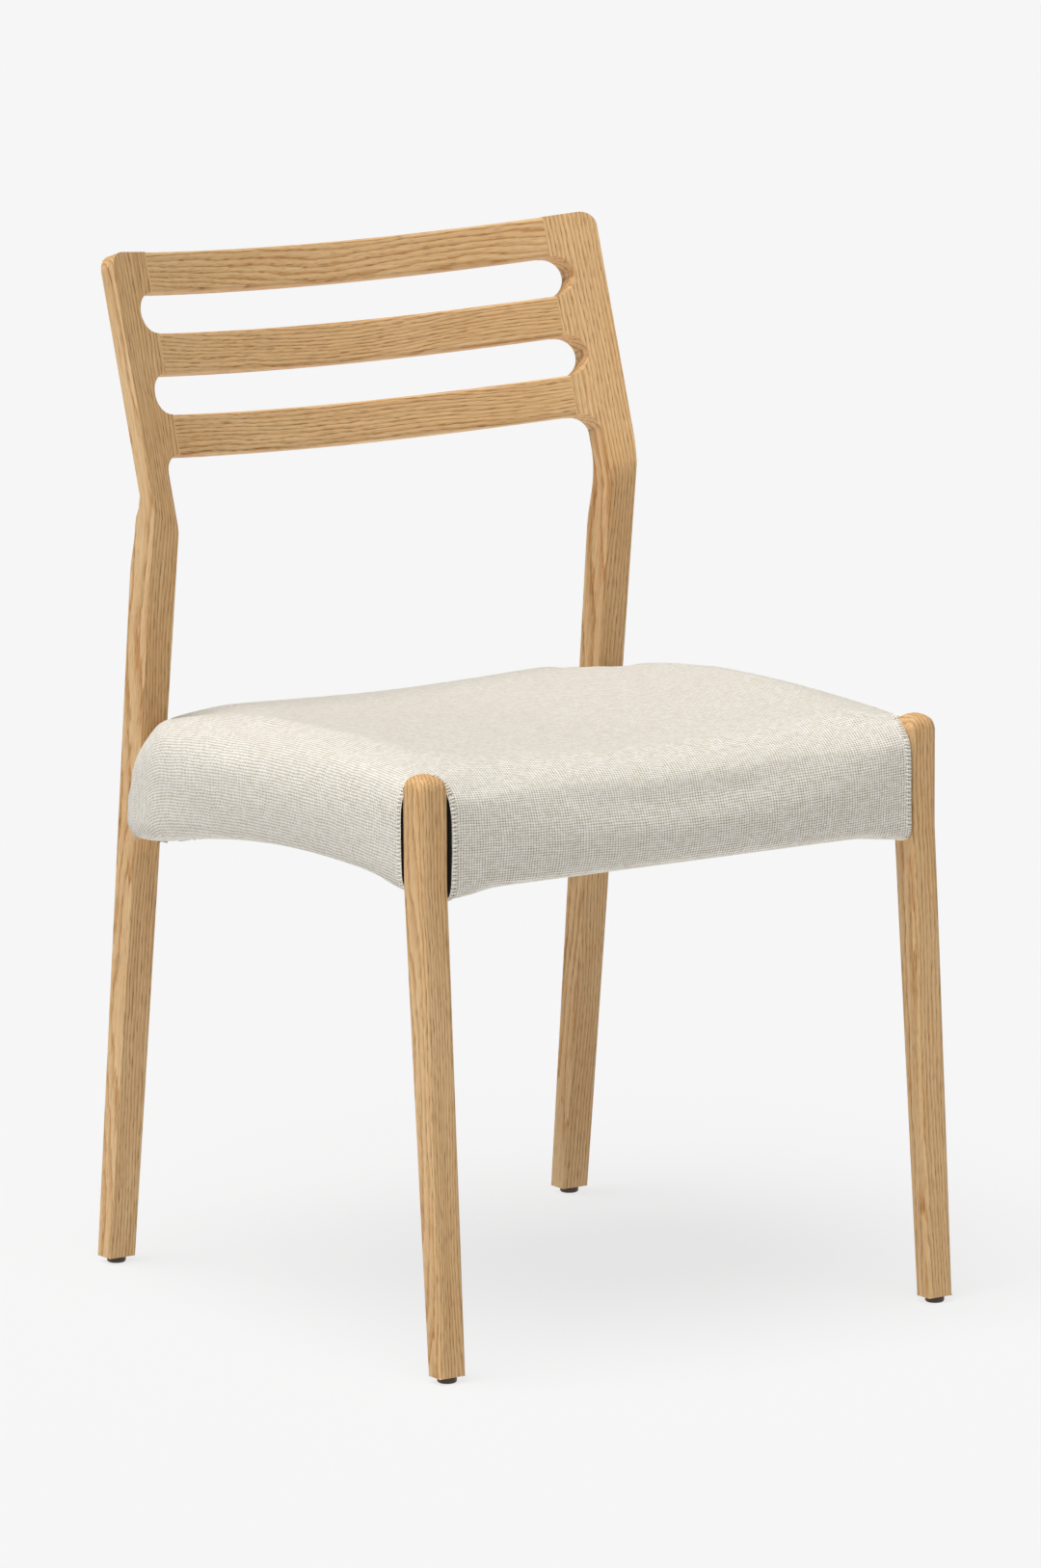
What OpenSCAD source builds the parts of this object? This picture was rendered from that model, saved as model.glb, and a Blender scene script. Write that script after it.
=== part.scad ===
// Armless oak dining chair: three-slat curved back, tapered legs, padded saddle seat over a rail frame.
// Millimetres, +Z up, the sitter faces -Y. Part modules use a datum on the floor midway between the
// front and rear glides; in_row_frame() then moves them so that the origin is under the box centre.

/* [Overall] */
// Height of the backrest's top line, measured along its lean from the datum plane
back_top = 834; // [815:1:850]
// Width across the outer faces of the front legs
front_width = 483; // [470:1:495]
// Width across the outer faces of the rear legs
rear_width = 457; // [450:1:463]
// Distance of the front glides in front of the datum plane
front_glide_y = 237; // [233:1:240]
// Distance of the rear glides behind the datum plane
rear_glide_y = 240; // [237:1:243]

/* [Legs] */
// Sideways width of a front leg at the seat
front_leg_width = 26; // [24:0.5:27]
// Front-to-back depth of a front leg at its top
front_leg_depth = 27; // [26:0.5:28]
// Height of the front legs
front_leg_height = 459; // [455:1:463]
// Sideways width of a rear leg
rear_leg_width = 23.5; // [22:0.5:24]
// Depth of every leg where it meets its glide
leg_toe_depth = 17.5; // [16:0.5:18.5]
// Depth of a rear leg just under its bend
rear_leg_depth = 29.5; // [28:0.5:33]
// Height of the bend in the rear legs
bend_height = 617; // [610:1:622]
// Radius of the rounded long edges of the legs
edge_radius = 3.5; // [2:0.5:4.5]

/* [Back] */
// Lean of the backrest behind vertical, in degrees
back_lean = 17.5; // [16:0.5:18]
// Radius of the backrest's front face in plan
back_radius = 600; // [580:5:640]
// Thickness of the slats and of the upper posts
back_thickness = 17.5; // [16:0.5:19]
// Height of one slat
slat_height = 32; // [30:0.5:34]
// Distance from one slat to the next
slat_pitch = 64.3; // [63:0.1:66]
// Sideways distance from the middle to the slat butt joints
slat_joint_x = 188; // [184:1:190]

/* [Seat] */
// Thickness of the rails
rail_thickness = 20; // [18:1:21]
// Thickness of the plywood seat panel
panel_thickness = 9; // [8:1:12]
// Height of the panel's underside
panel_height = 404; // [400:1:406]
// Thickness of the woven cover
cover_thickness = 1.5; // [1:0.5:2]
// Radius of the padded edge
pad_radius = 26; // [20:1:30]
// Rise of the pad's sides above a straight line from front to rear
pad_side_arch = 17; // [10:1:20]
// Depth of the hollow across the middle of the seat
pad_dish = 15; // [5:1:18]

/* [Glides and fasteners] */
// Diameter of a glide
glide_diameter = 15; // [14:0.5:16]
// Height of a glide
glide_height = 5; // [4:0.5:6]
// Diameter of the wooden dowels
dowel_diameter = 8; // [6:1:8]
// Diameter of the screws
screw_diameter = 4; // [3:0.5:4.5]

/* [Hidden] */
$fn = 64;
hull_fn = 32;
slice = 0.2;
big = 1000;
fit_gap = 0.05;

oak_light = "#d9b27f";
oak_warm = "#cf9f68";
beech = "#e3c9a0";
cloth = "#e9e2d4";
foam_colour = "#f4efc8";
lining_black = "#26262a";
steel_zinc = "#b9bcc0";
glide_brown = "#3b2b24";

// Front leg: front and back face lines, as y at a height
front_knee_z = 372;
front_face_y = -221;
front_toe_y = -front_glide_y - leg_toe_depth / 2;
front_leg_out = front_width / 2;
front_leg_in = front_leg_out - front_leg_width;
front_toe_in = front_leg_in + 1.5;
crown_r = 8;
knee_back_y = front_face_y + front_leg_depth - 2.5;
function front_leg_back_y(z) =
    knee_back_y + 2.5 * (z - front_knee_z) / (front_leg_height - front_knee_z);

// Rear leg: straight front and back face lines below the bend
rear_leg_out = rear_width / 2;
rear_leg_in = rear_leg_out - rear_leg_width;
rear_toe_out = rear_leg_out + 1.5;
rear_toe_y = rear_glide_y - leg_toe_depth / 2;
bend_y = 160.6;
rear_front_slope = (rear_toe_y - bend_y) / (bend_height - glide_height);
function rear_leg_front_y(z) = rear_toe_y - rear_front_slope * (z - glide_height);
calf_z = 562;
calf_back_y = rear_leg_front_y(calf_z) + rear_leg_depth;
neck_z = 597;
neck_depth = 26;

// Backrest frame: the lean turns about the X axis, and the plan arc has its centre in front
arc_back_y = 14;
arc_centre_y = arc_back_y - back_radius;
arc_mid_radius = back_radius + back_thickness / 2;
post_foot = 645;
root_inset = 0.4;
overshoot = 5;
window_x = rear_leg_in;
window_height = slat_pitch - slat_height;
slat_bottoms = [for (i = [0:2]) back_top - slat_height - i * slat_pitch];
crown_radius = 13;
fillet_radius = 15;

// Row frame: the box runs from the front toes to the crest of the top slat
box_back_y = (arc_back_y + back_thickness) * cos(back_lean) + back_top * sin(back_lean);
box_front_y = front_toe_y;
centre_y = (box_front_y + box_back_y) / 2;

// Seat frame
front_rail_y = front_face_y + 5;
front_rail_back = front_rail_y + rail_thickness;
front_rail_z = [377, 428];
rear_rail_y = 186;
rear_rail_z = [346, 416];
side_rail_in = 212;
side_rail_out = side_rail_in + rail_thickness;
dowel_reach = 18;
front_rail_dowel_z = [387, 411];
front_side_dowel_z = [399, 423];
rear_rail_dowel_z = [384, 406];
rear_side_dowel_z = [371, 397];
side_dowel_x = 222.5;
block_leg = 46;
block_height = 28;

// Pad outline and edge heights
pad_side = 239;
pad_front = -222.5;
pad_rear = 210;
pad_corner = 16;
side_steps = 16;
corner_steps = 5;
lower_edge_front = 367;
lower_edge_rear = 339;
lower_edge_arch = 24;
front_edge_arch = 3;
upper_edge_front = 457;
upper_edge_rear = 443;
rear_droop = 9;
function along(y) = (y - pad_front) / (pad_rear - pad_front);
function hump(t) = 4 * t * (1 - t);
function mix(a, b, t) = a + (b - a) * t;
function ramp(t) = let (c = max(0, min(1, t))) c * c * (3 - 2 * c);
function pad_low(x, y) = mix(lower_edge_front, lower_edge_rear, along(y))
    + lower_edge_arch * hump(along(y))
    + front_edge_arch * (1 - pow(x / pad_side, 2)) * ramp(1 - 4 * along(y));
function dish_at(y) = mix(0.55, 0.25, along(y)) + 0.6 * hump(along(y));
function pad_high(x, y) = mix(upper_edge_front, upper_edge_rear, along(y))
    + pad_side_arch * hump(along(y))
    - pad_dish * dish_at(y) * (1 - pow(x / pad_side, 2))
    - rear_droop * ramp((abs(x) - 165) / 70) * ramp((y - 100) / 110);

// Staple places on the undersides of the rails
staple_inset = 9;
staple_rows = concat(
    [for (x = [-180:40:180]) [x, front_rail_y + staple_inset, 0]],
    [for (x = [-180:40:180]) [x, rear_rail_y + rail_thickness - staple_inset, 0]],
    [for (s = [-1, 1], y = [-160:40:160]) [s * (side_rail_out - staple_inset), y, 90]]);

module in_row_frame() { translate([0, -centre_y, 0]) children(); }
module left() { mirror([1, 0, 0]) children(); }
module leaned() { rotate([-back_lean, 0, 0]) children(); }

// ---- Legs ----

// Four round corners of a leg's cross-section; the outer front one has its own radius
module leg_slice(x_in, x_out, y_front, y_back, z, front_r = edge_radius) {
    for (x = [x_in + edge_radius, x_out - edge_radius])
        translate([x, y_back - edge_radius, z])
            cylinder(h = slice, r = edge_radius, $fn = hull_fn);
    translate([x_in + edge_radius, y_front + edge_radius, z])
        cylinder(h = slice, r = edge_radius, $fn = hull_fn);
    translate([x_out - front_r, y_front + front_r, z])
        cylinder(h = slice, r = front_r, $fn = hull_fn);
}

module front_leg() {
    difference() {
        union() {
            hull() {
                leg_slice(front_toe_in, front_leg_out, front_toe_y, front_toe_y + leg_toe_depth,
                    glide_height);
                front_knee();
            }
            hull() {
                front_knee();
                for (x = [front_leg_in + crown_r, front_leg_out - crown_r])
                    for (y = [front_face_y, front_leg_back_y(front_leg_height) - 2 * crown_r])
                        translate([x, y + crown_r, front_leg_height - crown_r])
                            sphere(r = crown_r, $fn = hull_fn);
            }
        }
        front_leg_bores();
    }
}

module front_knee() {
    leg_slice(front_leg_in, front_leg_out, front_face_y, knee_back_y, front_knee_z, crown_r);
}

module front_leg_bores() {
    rail_dowel_set(dowel_diameter / 2 + fit_gap, fit_gap);
    glide_nail_at(front_glide_xy(), fit_gap);
}

module rear_leg() {
    difference() {
        union() {
            hull() {
                leg_slice(rear_toe_out - rear_leg_width, rear_toe_out, rear_toe_y,
                    rear_toe_y + leg_toe_depth, glide_height);
                calf();
            }
            hull() {
                calf();
                neck();
            }
            hull() {
                neck();
                post_root();
            }
            leaned() upper_post();
        }
        rear_leg_bores();
    }
}

// The leg is deepest at the calf and thins to the neck, just under the bend
module calf() {
    leg_slice(rear_leg_in, rear_leg_out, rear_leg_front_y(calf_z), calf_back_y, calf_z);
}

module neck() {
    leg_slice(rear_leg_in, rear_leg_out, rear_leg_front_y(neck_z),
        rear_leg_front_y(neck_z) + neck_depth, neck_z);
}

// The band that the neck grows into, kept just inside the upper post's own faces
module post_root() {
    leaned() intersection() {
        back_arc(post_foot + 1, slice, root_inset);
        translate([rear_leg_in + root_inset, -big / 2, 0])
            cube([rear_leg_width - 2 * root_inset, big, big]);
    }
}

// A band of the curved back, from a height along the lean
module back_arc(low, height, inset = 0) {
    translate([0, arc_centre_y, low]) rotate([0, 0, 60]) rotate_extrude(angle = 60, $fn = 360)
        translate([back_radius + inset, 0]) square([back_thickness - 2 * inset, height]);
}

module upper_post() {
    intersection() {
        back_arc(post_foot - overshoot, back_top - post_foot + 2 * overshoot);
        translate([0, big / 2, 0]) rotate([90, 0, 0]) linear_extrude(big) post_outline();
    }
}

// Post and slat stubs seen from the front: x sideways, y along the lean
module post_outline() {
    difference() {
        union() {
            translate([slat_joint_x, post_foot])
                square([rear_leg_out - slat_joint_x, back_top - post_foot - crown_radius]);
            translate([slat_joint_x, back_top - slat_height])
                square([rear_leg_out - slat_joint_x - crown_radius, slat_height]);
            translate([rear_leg_out - crown_radius, back_top - crown_radius])
                circle(r = crown_radius);
        }
        for (low = [slat_bottoms[1], slat_bottoms[2]]) post_window(low + slat_height);
        translate([slat_joint_x - 1, post_foot - 1])
            square([window_x - slat_joint_x + 1 - fillet_radius,
                slat_bottoms[2] - post_foot + 1]);
        translate([slat_joint_x - 1, post_foot - 1])
            square([window_x - slat_joint_x + 1,
                slat_bottoms[2] - post_foot + 1 - fillet_radius]);
        translate([window_x - fillet_radius, slat_bottoms[2] - fillet_radius])
            circle(r = fillet_radius);
    }
}

module post_window(low) {
    translate([slat_joint_x - 1, low])
        square([window_x - slat_joint_x + 1 - window_height / 2, window_height]);
    translate([window_x - window_height / 2, low + window_height / 2])
        circle(d = window_height);
}

module rear_leg_bores() {
    slat_dowel_set(dowel_diameter / 2 + fit_gap, fit_gap);
    rail_dowel_set(dowel_diameter / 2 + fit_gap, fit_gap);
    glide_nail_at(rear_glide_xy(), fit_gap);
}

// ---- Back ----

module slat(low) {
    difference() {
        leaned() intersection() {
            translate([0, arc_centre_y, low]) rotate([0, 0, 60])
                rotate_extrude(angle = 60, $fn = 360) slat_profile();
            translate([-slat_joint_x, -big / 2, 0]) cube([2 * slat_joint_x, big, big]);
        }
        slat_dowel_set(dowel_diameter / 2 + fit_gap, fit_gap);
        left() slat_dowel_set(dowel_diameter / 2 + fit_gap, fit_gap);
    }
}

module slat_profile() {
    round_r = 3;
    translate([back_radius, round_r]) square([back_thickness, slat_height - 2 * round_r]);
    translate([back_radius + round_r, 0]) square([back_thickness - 2 * round_r, slat_height]);
    for (x = [round_r, back_thickness - round_r])
        for (y = [round_r, slat_height - round_r])
            translate([back_radius + x, y]) circle(r = round_r);
}

// Two dowels across each butt joint, along the back's tangent
module slat_dowel_set(r, extra) {
    tangent = asin(slat_joint_x / arc_mid_radius);
    mid_y = arc_centre_y + arc_mid_radius * cos(tangent);
    for (low = slat_bottoms)
        for (dz = [slat_height * 0.27, slat_height * 0.73])
            leaned() translate([slat_joint_x, mid_y, low + dz]) rotate([0, 0, -tangent])
                rotate([0, 90, 0])
                    cylinder(h = 2 * (dowel_reach + extra), r = r, center = true);
}

// ---- Seat frame ----

module front_rail() {
    difference() {
        translate([-front_leg_in, front_rail_y, front_rail_z[0]])
            cube([2 * front_leg_in, rail_thickness, front_rail_z[1] - front_rail_z[0]]);
        both_sides() rail_dowel_set(dowel_diameter / 2 + fit_gap, fit_gap);
        block_screws(screw_diameter / 2 + fit_gap);
        staples(fit_gap);
    }
}

module rear_rail() {
    difference() {
        translate([-rear_leg_in, rear_rail_y, rear_rail_z[0]])
            cube([2 * rear_leg_in, rail_thickness, rear_rail_z[1] - rear_rail_z[0]]);
        both_sides() rail_dowel_set(dowel_diameter / 2 + fit_gap, fit_gap);
        block_screws(screw_diameter / 2 + fit_gap);
        staples(fit_gap);
    }
}

side_rail_steps = 12;
side_rail_front = front_leg_back_y(400);
side_rail_rear = rear_leg_front_y(400);
rail_seat_gap = 1.5;
function rail_low(y) = pad_low(side_rail_out, y) + rail_seat_gap;
function rail_top(y) = mix(430, 412, along(y)) + 10 * hump(along(y));
function rail_y(i, z) = mix(front_leg_back_y(z), rear_leg_front_y(z), i / side_rail_steps);

// Side view of a side rail: its ends follow the leaning faces of the legs
module side_rail_outline() {
    polygon(concat(
        [for (i = [0:side_rail_steps])
            let (z = rail_low(mix(side_rail_front, side_rail_rear, i / side_rail_steps)))
            [rail_y(i, z), z]],
        [for (i = [side_rail_steps:-1:0])
            let (z = rail_top(mix(side_rail_front, side_rail_rear, i / side_rail_steps)))
            [rail_y(i, z), z]]));
}

module side_rail() {
    difference() {
        translate([side_rail_in, 0, 0]) rotate([90, 0, 90])
            linear_extrude(rail_thickness) side_rail_outline();
        rail_dowel_set(dowel_diameter / 2 + fit_gap, fit_gap);
        block_screws(screw_diameter / 2 + fit_gap);
        staples(fit_gap);
    }
}

module both_sides() {
    children();
    left() children();
}

// The dowels on the right-hand side of the frame
module rail_dowel_set(r, extra) {
    for (z = front_rail_dowel_z)
        dowel_x([front_leg_in, front_rail_y + rail_thickness / 2, z], r, extra);
    for (z = rear_rail_dowel_z)
        dowel_x([rear_leg_in, rear_rail_y + rail_thickness / 2 + 1, z], r, extra);
    for (z = front_side_dowel_z)
        dowel_y([side_dowel_x, front_leg_back_y(z), z], r, extra);
    for (z = rear_side_dowel_z)
        dowel_y([side_dowel_x - 3, rear_leg_front_y(z), z], r, extra);
}

module dowel_x(at, r, extra) {
    translate(at) rotate([0, 90, 0]) cylinder(h = 2 * (dowel_reach + extra), r = r, center = true);
}

module dowel_y(at, r, extra) {
    translate(at) rotate([90, 0, 0]) cylinder(h = 2 * (dowel_reach + extra), r = r, center = true);
}

// A block glued and screwed into a corner: dir is +1 at the rear and -1 at the front
module corner_block(dir) {
    corner_y = dir > 0 ? rear_rail_y : front_rail_back;
    difference() {
        translate([0, 0, panel_height - block_height]) linear_extrude(block_height) polygon([
            [side_rail_in, corner_y], [side_rail_in, corner_y - dir * block_leg],
            [side_rail_in - block_leg, corner_y]]);
        block_screws(screw_diameter / 2 + fit_gap);
        seat_screw_set(screw_diameter / 2 + fit_gap, fit_gap);
    }
}

// Pan-head screws through the blocks: one into the side rail, one into the front or rear rail
screw_grip = 12;
screw_bite = 14;
screw_spread = 15;
screw_head = 3;
screw_z = panel_height - block_height / 2;
module block_screws(r) {
    for (s = [-1, 1], dir = [-1, 1]) {
        corner_y = dir > 0 ? rear_rail_y : front_rail_back;
        translate([s * side_rail_in, corner_y - dir * (block_leg - screw_spread), screw_z + 6])
            rotate([0, s * 90, 0]) pan_screw(r, screw_grip, screw_bite);
        translate([s * (side_rail_in - block_leg + screw_spread), corner_y, screw_z - 6])
            rotate([-dir * 90, 0, 0]) pan_screw(r, screw_grip, screw_bite);
    }
}

// Shank along +Z with its head below: the joint face lies at z = 0
module pan_screw(r, grip, bite) {
    translate([0, 0, -grip]) cylinder(h = grip + bite, r = r);
    translate([0, 0, -grip - screw_head]) cylinder(h = screw_head, r = 2 * r);
}

// ---- Seat ----

module seat_panel() {
    difference() {
        translate([-side_rail_in + 0.5, front_rail_back + 0.5, panel_height])
            cube([2 * side_rail_in - 1, rear_rail_y - front_rail_back - 1, panel_thickness]);
        seat_screw_set(screw_diameter / 2 + fit_gap, fit_gap);
    }
}

seat_screw_bite = 7;
module seat_screw_set(r, extra) {
    for (s = [-1, 1], dir = [-1, 1]) {
        corner_y = dir > 0 ? rear_rail_y : front_rail_back;
        translate([s * (side_rail_in - 11), corner_y - dir * 11, panel_height])
            pan_screw(r, block_height, seat_screw_bite + extra);
    }
}

// Plan outline of the pad, inset by d, going round from the front-right corner
function pad_ring(d) =
    let (hw = pad_side - d, y0 = pad_front + d, y1 = pad_rear - d, r = max(pad_corner - d, 2))
    concat(
        [for (i = [0:side_steps]) [hw, mix(y0 + r, y1 - r, i / side_steps)]],
        corner_arc(hw - r, y1 - r, r, 0),
        [for (i = [0:side_steps]) [mix(hw - r, r - hw, i / side_steps), y1]],
        corner_arc(r - hw, y1 - r, r, 90),
        [for (i = [0:side_steps]) [-hw, mix(y1 - r, y0 + r, i / side_steps)]],
        corner_arc(r - hw, y0 + r, r, 180),
        [for (i = [0:side_steps]) [mix(r - hw, hw - r, i / side_steps), y0]],
        corner_arc(hw - r, y0 + r, r, 270));
function corner_arc(x, y, r, start) =
    [for (i = [1:corner_steps - 1])
        let (a = start + 90 * i / corner_steps) [x + r * cos(a), y + r * sin(a)]];

// Rings of the pad: [inset, drop below the top surface], then the lower rim as [inset]
edge_steps = 5;
function top_rings(g) = concat(
    [for (i = [0:edge_steps])
        let (a = 90 * i / edge_steps)
        [for (p = pad_ring(pad_radius * (1 - cos(a)) - g))
            [p.x, p.y, pad_high(p.x, p.y) + g - pad_radius * (1 - sin(a))]]],
    [for (d = [45, 70, 100, 140, 180])
        [for (p = pad_ring(d)) [p.x, p.y, pad_high(p.x, p.y) + g]]]);
function low_rings(g) =
    [for (d = [180, 140, 100, 60, 30, 6])
        [for (p = pad_ring(d)) [p.x, p.y, pad_low(p.x, p.y) - g]]];
function rim_ring(g) = [for (p = pad_ring(-g)) [p.x, p.y, pad_low(p.x, p.y) + 6]];

module pad_body(g) {
    rings = concat(low_rings(g), [rim_ring(g)], top_rings(g));
    count = len(rings[0]);
    last = len(rings) - 1;
    points = concat([for (ring = rings) each ring],
        [[0, 0, pad_low(0, 0) - g], [0, 0, pad_high(0, 0) + g]]);
    low_pole = count * (last + 1);
    polyhedron(points, concat(
        [for (k = [0:last - 1], i = [0:count - 1])
            let (j = (i + 1) % count)
            each [[k * count + i, (k + 1) * count + i, k * count + j],
                [k * count + j, (k + 1) * count + i, (k + 1) * count + j]]],
        [for (i = [0:count - 1]) [low_pole, i, (i + 1) % count]],
        [for (i = [0:count - 1])
            [low_pole + 1, last * count + (i + 1) % count, last * count + i]]));
}

// Room for the legs: a square notch at each front corner, a leaning one at each rear corner
module leg_notches(gap) {
    both_sides() {
        translate([front_leg_in - gap, front_face_y - 50, 300])
            cube([100, 50 + front_leg_depth + gap, 300]);
        translate([rear_leg_in - gap, 0, 0]) rotate([90, 0, 90]) linear_extrude(100) polygon([
            [rear_leg_front_y(300) - gap, 300], [260, 300], [260, 500],
            [rear_leg_front_y(500) - gap, 500]]);
    }
}

// The rails and the panel, with everything between and under them
module frame_void() {
    translate([-side_rail_in - 1, front_rail_back - 1, 300])
        cube([2 * side_rail_in + 2, rear_rail_y - front_rail_back + 2,
            panel_height + panel_thickness - 300]);
    translate([-front_leg_in - 1, front_rail_y, 300])
        cube([2 * front_leg_in + 2, rail_thickness, front_rail_z[1] - 300]);
    translate([-rear_leg_in - 1, rear_rail_y, 300])
        cube([2 * rear_leg_in + 2, rail_thickness, rear_rail_z[1] - 300]);
    both_sides() translate([side_rail_in - 0.5, 0, 0]) rotate([90, 0, 90])
        linear_extrude(rail_thickness + 0.5) union() {
            side_rail_outline();
            translate([front_leg_back_y(300), 300])
                square([rear_leg_front_y(400) - front_leg_back_y(300), 90]);
        }
}

module seat_foam() {
    difference() {
        pad_body(0);
        frame_void();
        leg_notches(3);
    }
}

turn_under = 24;
module seat_cover() {
    difference() {
        pad_body(cover_thickness);
        pad_body(0);
        translate([turn_under - pad_side, pad_front + turn_under, 300])
            cube([2 * (pad_side - turn_under), pad_rear - pad_front - 2 * turn_under, 120]);
        leg_notches(1.5);
    }
}

// One staple is a crown with two legs; the crown lies against the underside of the turned cover
staple_crown = 10;
staple_wire = 0.8;
staple_leg = 8;
module staples(extra) {
    for (s = staple_rows) {
        z = pad_low(s.x, s.y) - cover_thickness;
        translate([s.x, s.y, z]) rotate([0, 0, s.z]) {
            translate([-staple_crown / 2, -staple_wire / 2, -staple_wire])
                cube([staple_crown, staple_wire, staple_wire]);
            for (x = [-staple_crown / 2, staple_crown / 2 - staple_wire])
                translate([x - extra, -staple_wire / 2 - extra, -staple_wire])
                    cube([staple_wire + 2 * extra, staple_wire + 2 * extra,
                        staple_leg + staple_wire + extra]);
        }
    }
}

lining_thickness = 0.8;
lining_side = 222;
module dust_cover() {
    steps = 12;
    y0 = front_rail_y + 8;
    y1 = rear_rail_y + rail_thickness - 8;
    rows = [for (i = [0:steps]) let (y = mix(y0, y1, i / steps)) [y, pad_low(200, y) - 3.2]];
    difference() {
        translate([-lining_side, 0, 0]) rotate([90, 0, 90]) linear_extrude(2 * lining_side)
            polygon(concat(rows,
                [for (i = [steps:-1:0]) [rows[i].x, rows[i].y - lining_thickness]]));
        leg_notches(6);
    }
}

// ---- Glides ----

function front_glide_xy() = [(front_toe_in + front_leg_out) / 2, -front_glide_y];
function rear_glide_xy() = [rear_toe_out - rear_leg_width / 2, rear_glide_y];
nail_diameter = 2.5;
nail_length = 22;

module glide_at(xy) {
    difference() {
        translate([xy.x, xy.y, 0]) rotate_extrude() {
            square([glide_diameter / 2 - 1.5, glide_height]);
            translate([0, 1.5]) square([glide_diameter / 2, glide_height - 1.5]);
            translate([glide_diameter / 2 - 1.5, 1.5]) circle(r = 1.5);
        }
        glide_nail_at(xy, fit_gap);
    }
}

module glide_nail_at(xy, extra) {
    translate([xy.x, xy.y, 2]) {
        cylinder(h = nail_length + extra, r = nail_diameter / 2 + extra);
        cylinder(h = 1 + extra, r = 3.5 + extra);
    }
}

// ---- The named pieces ----

module front_leg_right() { color(oak_light) in_row_frame() front_leg(); }
module front_leg_left() { color(oak_light) in_row_frame() left() front_leg(); }
module rear_leg_right() { color(oak_warm) in_row_frame() rear_leg(); }
module rear_leg_left() { color(oak_warm) in_row_frame() left() rear_leg(); }
module top_slat() { color(oak_light) in_row_frame() slat(slat_bottoms[0]); }
module middle_slat() { color(oak_light) in_row_frame() slat(slat_bottoms[1]); }
module lower_slat() { color(oak_light) in_row_frame() slat(slat_bottoms[2]); }
module slat_dowels() {
    color(beech) in_row_frame() both_sides() slat_dowel_set(dowel_diameter / 2, 0);
}
module front_rail_piece() { color(beech) in_row_frame() front_rail(); }
module rear_rail_piece() { color(beech) in_row_frame() rear_rail(); }
module side_rail_right() { color(beech) in_row_frame() side_rail(); }
module side_rail_left() { color(beech) in_row_frame() left() side_rail(); }
module rail_dowels() {
    color(beech) in_row_frame() both_sides() rail_dowel_set(dowel_diameter / 2, 0);
}
module corner_block_front_right() { color(beech) in_row_frame() corner_block(-1); }
module corner_block_front_left() { color(beech) in_row_frame() left() corner_block(-1); }
module corner_block_rear_right() { color(beech) in_row_frame() corner_block(1); }
module corner_block_rear_left() { color(beech) in_row_frame() left() corner_block(1); }
module corner_block_screws() { color(steel_zinc) in_row_frame() block_screws(screw_diameter / 2); }
module seat_panel_piece() { color(beech) in_row_frame() seat_panel(); }
module seat_screws() { color(steel_zinc) in_row_frame() seat_screw_set(screw_diameter / 2, 0); }
module seat_foam_piece() { color(foam_colour) in_row_frame() seat_foam(); }
module seat_cover_piece() { color(cloth) in_row_frame() seat_cover(); }
module cover_staples() { color(steel_zinc) in_row_frame() staples(0); }
module dust_cover_piece() { color(lining_black) in_row_frame() dust_cover(); }
module glide_front_right() { color(glide_brown) in_row_frame() glide_at(front_glide_xy()); }
module glide_front_left() { color(glide_brown) in_row_frame() left() glide_at(front_glide_xy()); }
module glide_rear_right() { color(glide_brown) in_row_frame() glide_at(rear_glide_xy()); }
module glide_rear_left() { color(glide_brown) in_row_frame() left() glide_at(rear_glide_xy()); }
module glide_nails() {
    color(steel_zinc) in_row_frame() both_sides() {
        glide_nail_at(front_glide_xy(), 0);
        glide_nail_at(rear_glide_xy(), 0);
    }
}

rear_leg_left();
rear_leg_right();
front_leg_left();
front_leg_right();
top_slat();
middle_slat();
lower_slat();
slat_dowels();
front_rail_piece();  // front_rail
rear_rail_piece();  // rear_rail
side_rail_left();
side_rail_right();
rail_dowels();
corner_block_front_left();
corner_block_front_right();
corner_block_rear_left();
corner_block_rear_right();
corner_block_screws();
seat_panel_piece();  // seat_panel
seat_screws();
seat_foam_piece();  // seat_foam
seat_cover_piece();  // seat_cover
cover_staples();
dust_cover_piece();  // dust_cover
glide_front_left();
glide_front_right();
glide_rear_left();
glide_rear_right();
glide_nails();
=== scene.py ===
import math
from contextlib import contextmanager

import bmesh
import bpy
from bpy.props import FloatProperty, IntProperty, PointerProperty, StringProperty
from mathutils import Matrix, Vector


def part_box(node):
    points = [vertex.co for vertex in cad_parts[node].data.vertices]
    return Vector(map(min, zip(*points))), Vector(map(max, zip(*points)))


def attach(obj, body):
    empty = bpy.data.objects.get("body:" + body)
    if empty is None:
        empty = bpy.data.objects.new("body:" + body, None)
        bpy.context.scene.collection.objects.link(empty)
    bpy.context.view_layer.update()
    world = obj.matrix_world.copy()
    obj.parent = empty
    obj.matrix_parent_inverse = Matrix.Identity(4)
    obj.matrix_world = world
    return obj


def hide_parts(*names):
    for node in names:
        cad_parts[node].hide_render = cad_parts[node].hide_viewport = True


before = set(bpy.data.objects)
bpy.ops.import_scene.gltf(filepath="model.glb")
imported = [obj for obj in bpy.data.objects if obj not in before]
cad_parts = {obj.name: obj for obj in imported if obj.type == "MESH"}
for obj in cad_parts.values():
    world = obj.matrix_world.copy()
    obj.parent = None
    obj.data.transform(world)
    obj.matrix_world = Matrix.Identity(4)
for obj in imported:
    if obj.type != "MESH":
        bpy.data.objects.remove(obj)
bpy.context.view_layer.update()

bl_info = {
    "name": "Oak dining chair",
    "version": (1, 0, 0),
    "blender": (4, 5, 0),
    "location": "3D View > Sidebar > Chair",
    "description": "An armless oak dining chair: bent rear legs, three curved slats and a padded woven seat",
    "category": "Add Mesh",
}


def middle(node):
    low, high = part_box(node)
    return (low + high) / 2


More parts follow.
